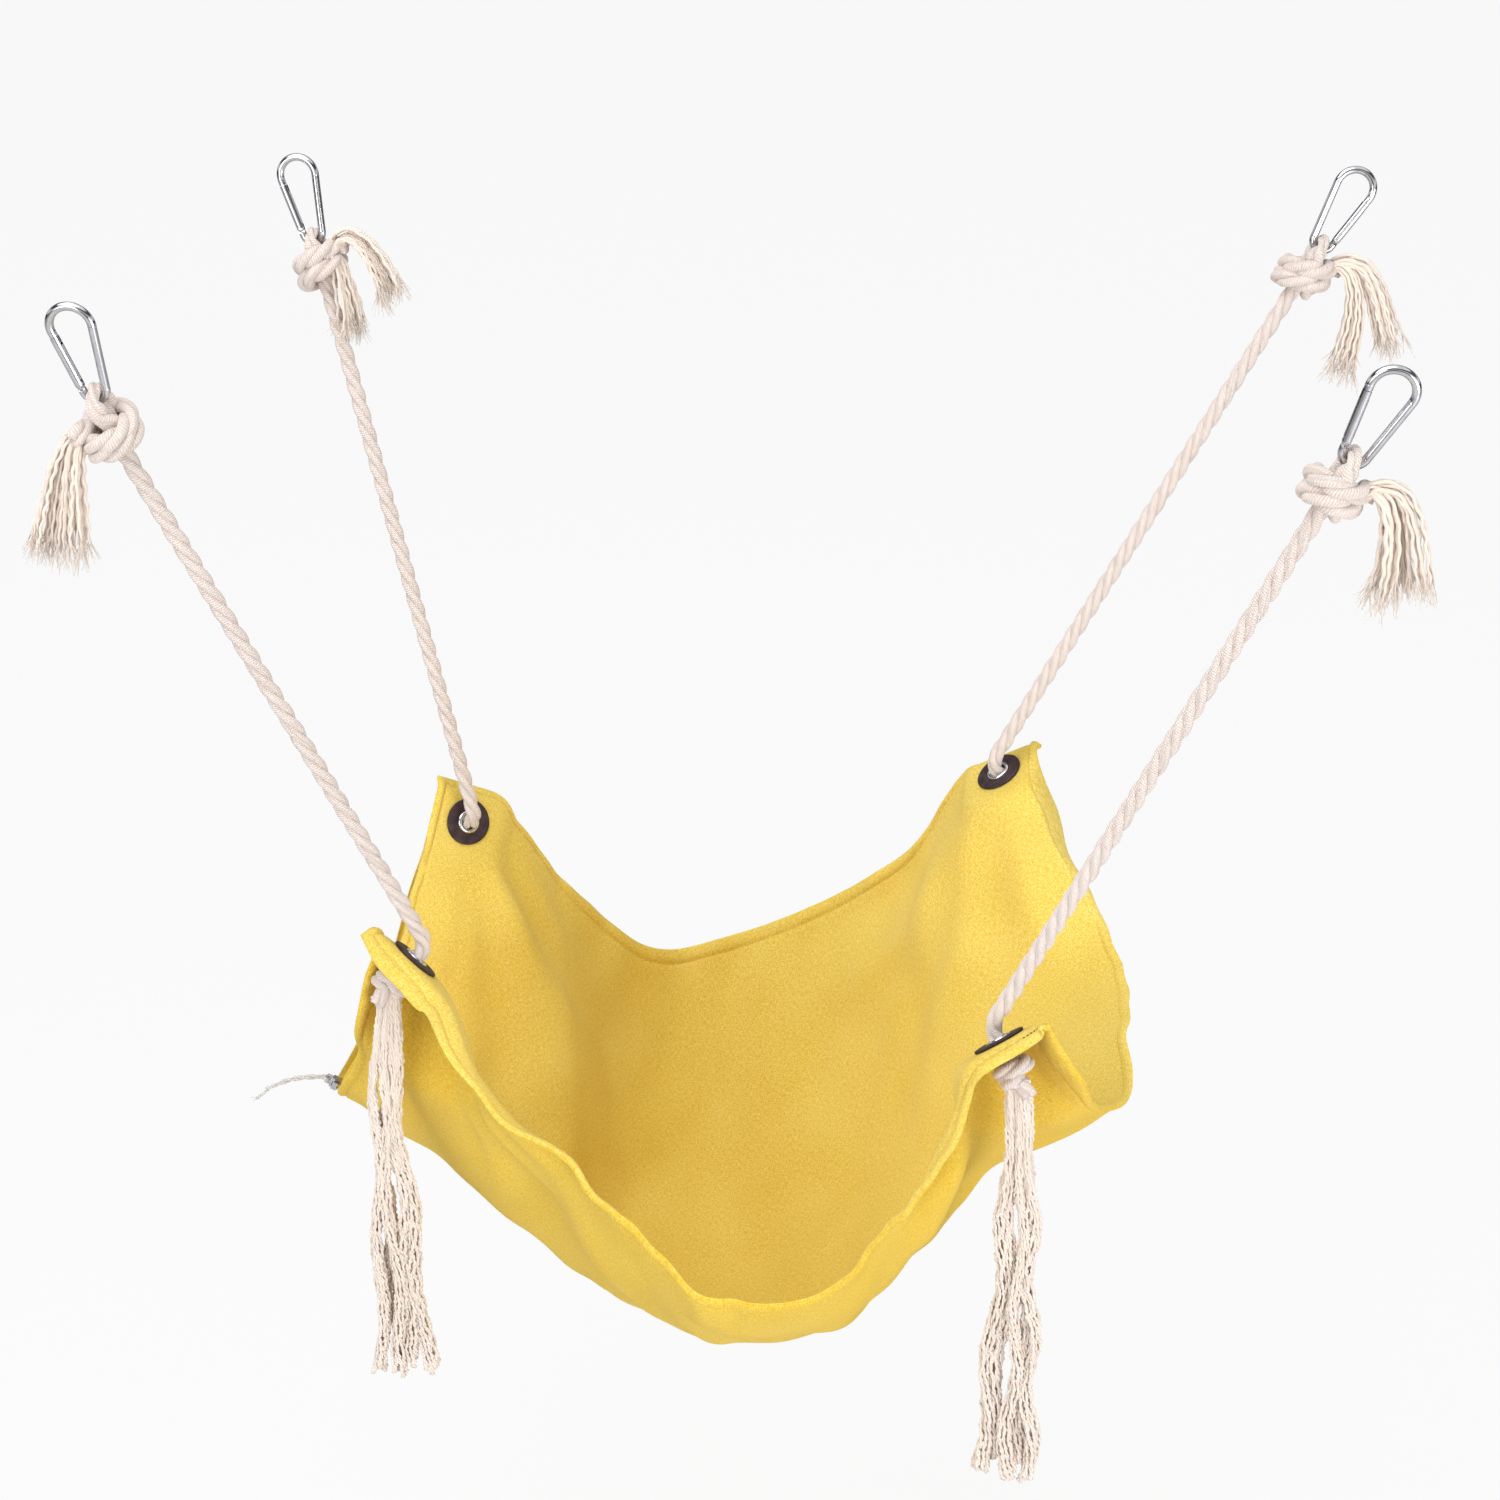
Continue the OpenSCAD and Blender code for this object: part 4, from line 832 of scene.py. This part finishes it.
for corner in CORNERS:
    finish_nodes(["carabiner_" + corner, "gate_" + corner], hook_steel)
    finish_nodes(["gate_pin_" + corner, "gate_spring_" + corner], pin_steel)
    finish_nodes(["eyelet_" + corner, "eyelet_washer_" + corner], eyelet_steel)


# Leather rings with softened edges, one above and one below the cloth at each eyelet
RING_HOLE, RING_SOFT, RING_SEGMENTS, RING_UNEVEN = 9.9, 0.4, 72, 0.12
RING_LOW = PANEL_TOP + SEAT_GAP


def ring_profile():
    inner, outer, soft, low, high = RING_HOLE / 2, RING_D / 2, RING_SOFT, RING_LOW, RING_LOW + RING_T
    return np.array([(inner, low + soft), (inner + soft, low), (outer - soft, low), (outer, low + soft),
                     (outer, high - 2 * soft), (outer - 0.3 * soft, high - soft),
                     (outer - soft, high - 0.4 * soft), (outer - 3 * soft, high), (inner + 2 * soft, high),
                     (inner, high - soft)])


def leather_ring(i, side):
    """The profile turned about an ear's eyelet, a little uneven at its outer edge."""
    a = math.tau * np.arange(RING_SEGMENTS) / RING_SEGMENTS
    radii, ups = (ring_profile()[::side] * (1, side)).T
    count = len(radii)
    radii = radii + RING_UNEVEN * np.sin(3 * a + (i + side))[:, None] * (radii > RING_D / 3)
    flat = np.stack([radii * np.cos(a)[:, None], radii * np.sin(a)[:, None], np.broadcast_to(ups, radii.shape)],
                    axis=-1).reshape(-1, 3)
    uv = np.column_stack([np.repeat(a, count) / math.tau, np.tile(np.arange(count) / count, RING_SEGMENTS)])
    bag = Bag()
    bag.add(eyelets[i] + flat @ ear_axes[i], wrap_faces(RING_SEGMENTS, count, closed=True, flip=True), uv)
    return bag


for i, corner in enumerate(CORNERS):
    for side, name in ((1, "top"), (-1, "bottom")):
        add_mesh(f"ring_{name}_{corner}", leather_ring(i, side), ring_leather, "sling",
                 (f"leather_ring_{name}_{corner}",))


# Zip: woven tape, a pair of coils, a slider and a cord pull
ZIP_ROWS = np.array([(-221.4, -37.9, -475.0), (-223.4, -20.5, -481.5), (-221.4, 0.5, -479.4),
                     (-217.7, 22.4, -471.7), (-215.5, 41.6, -461.2), (-213.6, 59.1, -447.5),
                     (-209.4, 71.6, -428.8), (-201.2, 73.7, -398.5), (-194.2, 74.3, -373.3)])
ZIP_START = np.array([-225.255, -37.674, -473.098])
ZIP_AXES = np.array([(-0.8968, 0.0622, 0.4381), (-0.1059, 0.9312, -0.3489), (0.4296, 0.3593, 0.8285)])
ZIP_FROM, ZIP_TO, ZIP_INSET, ZIP_POINTS = 169.7, 345.97, 8.5, 260
SLIDER_L, SLIDER_START = 8.0, 2.6
# Past the slider the zip tucks into the seam: share lost, and from where and over what share of its length
ZIP_TUCKS = ((0.75, 0.3, 0.3), (0.6, 0.8, 0.2))
row_y = np.linspace(ZIP_FROM, ZIP_TO, len(ZIP_ROWS))
row_out = cloth_point(np.zeros(len(row_y)), row_y) - cloth_point(np.full(len(row_y), ZIP_INSET), row_y)
row_out[:2] = ZIP_AXES[0]
zip_share = np.linspace(0, 1, ZIP_POINTS)
zip_line = curve_point(ZIP_ROWS, zip_share)
# The slider's own stretch is straight
first = (zip_share * (len(ZIP_ROWS) - 1))[:, None]
zip_line = np.where(first < 1, ZIP_ROWS[0] + first * (ZIP_ROWS[1] - ZIP_ROWS[0]), zip_line)
zip_out = curve_point(unit(row_out), zip_share)
zip_along = unit(np.gradient(zip_line, axis=0))
zip_out = unit(zip_out - (zip_out * zip_along).sum(axis=1)[:, None] * zip_along)
zip_up = np.cross(zip_out, zip_along)
zip_length = lengths_along(zip_line)
zip_shown = np.ones(ZIP_POINTS)
for lost, start, run in ZIP_TUCKS:
    zip_shown = zip_shown - lost * ease((zip_share - start) / run)

# The tape's section, from its inner edge round its outer one: places outwards and upwards
TAPE_OUT = np.array((-4.0, -1.0, 0.6, 2.0, 3.1, 3.1, 2.0, 0.6, -1.0, -4.0))
TAPE_UP = np.array((0.35, 0.4, 0.45, 0.4, 0.3, -0.3, -0.4, -0.45, -0.4, -0.35))
bag = Bag()
across, last = len(TAPE_OUT), (ZIP_POINTS - 1) * len(TAPE_OUT)
reach = np.where(TAPE_OUT > 0, TAPE_OUT * zip_shown[:, None], TAPE_OUT)
points = zip_line[:, None] + reach[:, :, None] * zip_out[:, None] + TAPE_UP[None, :, None] * zip_up[:, None]
faces = wrap_faces(ZIP_POINTS, across, flip=True)
faces += [tuple(range(across)), tuple(last + j for j in range(across - 1, -1, -1))]
uv = np.column_stack([np.repeat(zip_length, across), np.tile(TAPE_OUT, ZIP_POINTS)])
bag.add(points.reshape(-1, 3), faces, uv)
tape_canvas = canvas("tape_canvas", (0.90, 0.68, 0.12), (0.74, 0.46, 0.02))
add_mesh("zip_tape_woven", bag, tape_canvas, "sling", ("zip_tape",))

COIL_PITCH, COIL_POINTS, COIL_OUTS, COIL_R, COIL_RISE = 1.15, 9, (3.55, 5.05), 0.6, 0.62
# The wire is thinner where the slider runs: shares of the zip's length, and radii there
COIL_WIRES = ((0, 0.14, 0.2, 1), (0.26, 0.26, 0.4, 0.4))
bag = Bag()
turns, share = zip_length[-1] / COIL_PITCH, zip_length / zip_length[-1]
u = np.linspace(0, 1, int(turns * COIL_POINTS))
for k, off in enumerate(COIL_OUTS):
    a = math.tau * turns * u * (1 if k else -1) + np.pi * k
    line, out, up = (points_at(u, share, grid) for grid in (zip_line, zip_out, zip_up))
    reach = off * np.interp(u, share, zip_shown) + COIL_R * np.cos(a)
    line = line + reach[:, None] * out + (COIL_RISE * np.sin(a))[:, None] * up
    bag.tube(line, np.interp(u, *COIL_WIRES), 5)
coil_plastic = cotton("zip_coil", (0.88, 0.64, 0.08), (0.72, 0.45, 0.02), 3.0, 1.0,
                      Roughness=0.35, Specular_IOR_Level=0.4, Sheen_Weight=0.0)
add_mesh("zip_coil_pair", bag, coil_plastic, "sling", ("zip_chain",))
finish_nodes(["zip_stop", "zip_slider"], zip_metal)

# The pull: a cord looped through the slider's bar, its two ends twisted together and parting at the tip
BAR_X, PULL_L, PULL_D, PULL_PITCH, PULL_DROOP = 5.8, 40, 2.0, 15, math.radians(43)
PULL_ENDS, PULL_TWIST_R, PULL_PART, PULL_PART_RUN, PULL_PART_R = (1.0, 0.84), 0.85, 0.66, 0.34, 2.2
PULL_EYE_R, PULL_ROOT, PULL_ARCH, PULL_LAY, PULL_STEP = 1.55, 1.4, 4.0, 7, 0.7
PULL_FIBRES, PULL_FIBRE_R, PULL_STRAYS = 7, 0.16, ((-2.5, 1), (-1.5, 1.5), (-2.5, 1.2))
bag = Bag()
rng = random.Random(5)
bar = ZIP_START + (SLIDER_START + SLIDER_L / 2) * ZIP_AXES[1] + BAR_X * ZIP_AXES[0]
fall = math.cos(PULL_DROOP) * ZIP_AXES[0] - math.sin(PULL_DROOP) * ZIP_AXES[2]
for k, (side, share) in enumerate(zip((1, -1), PULL_ENDS)):
    eye = [bar + PULL_EYE_R * (math.cos(a) * ZIP_AXES[0] + side * math.sin(a) * ZIP_AXES[1])
           + 0.5 * side * ZIP_AXES[2] for a in np.linspace(math.pi, 0.6, 7)]
    w = np.linspace(0.1, share, 24)
    twist = math.tau * w * PULL_L / PULL_PITCH + (0 if side > 0 else math.pi)
    spread = np.maximum(0, (w - PULL_PART) / PULL_PART_RUN) ** 1.4
    beside = PULL_TWIST_R * (1 - spread)
    line = bar + PULL_ROOT * ZIP_AXES[0] + PULL_L * np.outer(w, fall)
    line = line + np.outer(PULL_ARCH * np.sin(np.pi * w), [0, 0, 1])
    line = line + np.outer(beside * np.sin(twist), ZIP_AXES[1])
    line = line + np.outer(beside * np.cos(twist) - side * PULL_PART_R * spread, [0, 0, 1])
    path = even_path(np.vstack([eye, line]), PULL_STEP)
    s = lengths_along(path) / lengths_along(path)[-1]
    width = 1 - 0.25 * s + 0.5 * np.maximum(0, (s - 0.9) / 0.1) ** 2
    bag.laid(path, PULL_D, PULL_LAY, sides=6, phase=k, width=width)
    for _ in range(PULL_FIBRES):
        v = np.linspace(0, 1, 6)
        stray = np.array([rng.uniform(*span) for span in PULL_STRAYS])
        fibre = path[-1] - 1.5 * fall + np.outer(v, 3.2 * fall) + np.outer(v**1.5, stray)
        bag.tube(fibre, PULL_FIBRE_R * (1 - 0.6 * v), 4)
add_mesh("zip_pull_cord", bag, white_cord, "zip_pull", ("zip_pull",))


# Stage: pale floor, white surroundings, soft lamps and the photograph's camera
def seen_straight(look):
    """1 for what the camera sees directly or through another surface, otherwise 0."""
    path = look.node("ShaderNodeLightPath")
    return look.math("MAXIMUM", path.outputs["Is Camera Ray"], path.outputs["Is Transmission Ray"])


FLOOR_Z, FLOOR_HALF, FLOOR_WHITE = -0.9, 6.0, 0.9
mesh = bpy.data.meshes.new("floor")
mesh.from_pydata([(x * FLOOR_HALF, y * FLOOR_HALF, FLOOR_Z) for x, y in ((-1, -1), (1, -1), (1, 1), (-1, 1))],
                 [], [(0, 1, 2, 3)])
look = Look(bpy.data.materials.new("floor_paint"))
speck = look.node("ShaderNodeTexNoise", Scale=3.0, Detail=2.0).outputs["Fac"]
look.shade(Base_Color=look.ramp(speck, (0.3, (0.66, 0.66, 0.66)), (0.7, (0.68, 0.68, 0.68))),
           Roughness=0.9, Specular_IOR_Level=0.0)
# The camera sees part of the floor's shaded self and part plain white
white = look.node("ShaderNodeEmission", Color=(1, 1, 1, 1), Strength=1.0)
mixed = look.node("ShaderNodeMixShader", Fac=look.math("MULTIPLY", seen_straight(look), FLOOR_WHITE))
look.put(mixed.inputs[1], look.nodes["Principled BSDF"].outputs[0])
look.put(mixed.inputs[2], white.outputs[0])
look.fill(look.nodes["Material Output"], Surface=mixed.outputs[0])
mesh.materials.append(look.owner)
floor = add_object("floor", mesh)

scene.view_settings.view_transform = "Standard"
scene.world = bpy.data.worlds.new("studio")
look = Look(scene.world)
AMBIENT = 0.55
level = look.node("ShaderNodeMix", data_type="FLOAT", Factor=seen_straight(look), A=AMBIENT, B=1.0)
# Metal sees a studio with a bright ceiling, pale walls and dark gaps between them: heights and greys
STUDIO = ((0.0, 0.7), (0.28, 0.6), (0.36, 0.06), (0.5, 0.04), (0.54, 0.8), (0.62, 0.7), (0.68, 0.08),
          (0.8, 0.1), (0.86, 1.0), (1.0, 1.0))
way = look.node("ShaderNodeSeparateXYZ", Vector=look.node("ShaderNodeTexCoord").outputs["Generated"])
walls = look.ramp(look.math("MULTIPLY_ADD", way.outputs["Z"], 0.5, 0.5),
                  *((place, (grey, grey, grey)) for place, grey in STUDIO))
glossy = look.node("ShaderNodeLightPath").outputs["Is Glossy Ray"]
mixed = look.node("ShaderNodeMix", data_type="FLOAT", Factor=glossy, A=level.outputs[0], B=walls)
look.fill(look.nodes["Background"], Color=(1, 1, 1, 1), Strength=mixed.outputs[0])
MIDDLE = Vector((0.0, 0.0, -0.4))


def soft_lamp(name, place, size, power):
    light = bpy.data.lights.new(name, "AREA")
    light.shape = "RECTANGLE"
    light.size, light.size_y = size
    light.energy = power
    lamp = add_object(name, light)
    lamp.location = place
    lamp.rotation_euler = (MIDDLE - Vector(place)).to_track_quat("-Z", "Y").to_euler()


soft_lamp("ceiling", (-0.5, -0.5, 1.4), (1.6, 1.6), 23)
soft_lamp("front", (-0.9, -2.0, 0.3), (1.4, 1.4), 17)
soft_lamp("right", (1.5, -1.5, -0.4), (1.2, 0.8), 22)

AZIMUTH, ELEVATION, DISTANCE = math.radians(7.0), math.radians(26.3), 1.35225
TARGET, LENS, SENSOR_W = Vector((0.00333, 0, -0.26933)), 61.78, 36
back_way = Vector((math.sin(AZIMUTH) * math.cos(ELEVATION), -math.cos(AZIMUTH) * math.cos(ELEVATION),
                   math.sin(ELEVATION)))
camera_data = bpy.data.cameras.new("camera")
camera_data.sensor_width = SENSOR_W
camera_data.lens = LENS
camera_data.clip_end = 50
camera = add_object("camera", camera_data)
camera.location = TARGET + back_way * DISTANCE
camera.rotation_euler = (-back_way).to_track_quat("-Z", "Y").to_euler()
scene.camera = camera

bpy.context.view_layer.update()
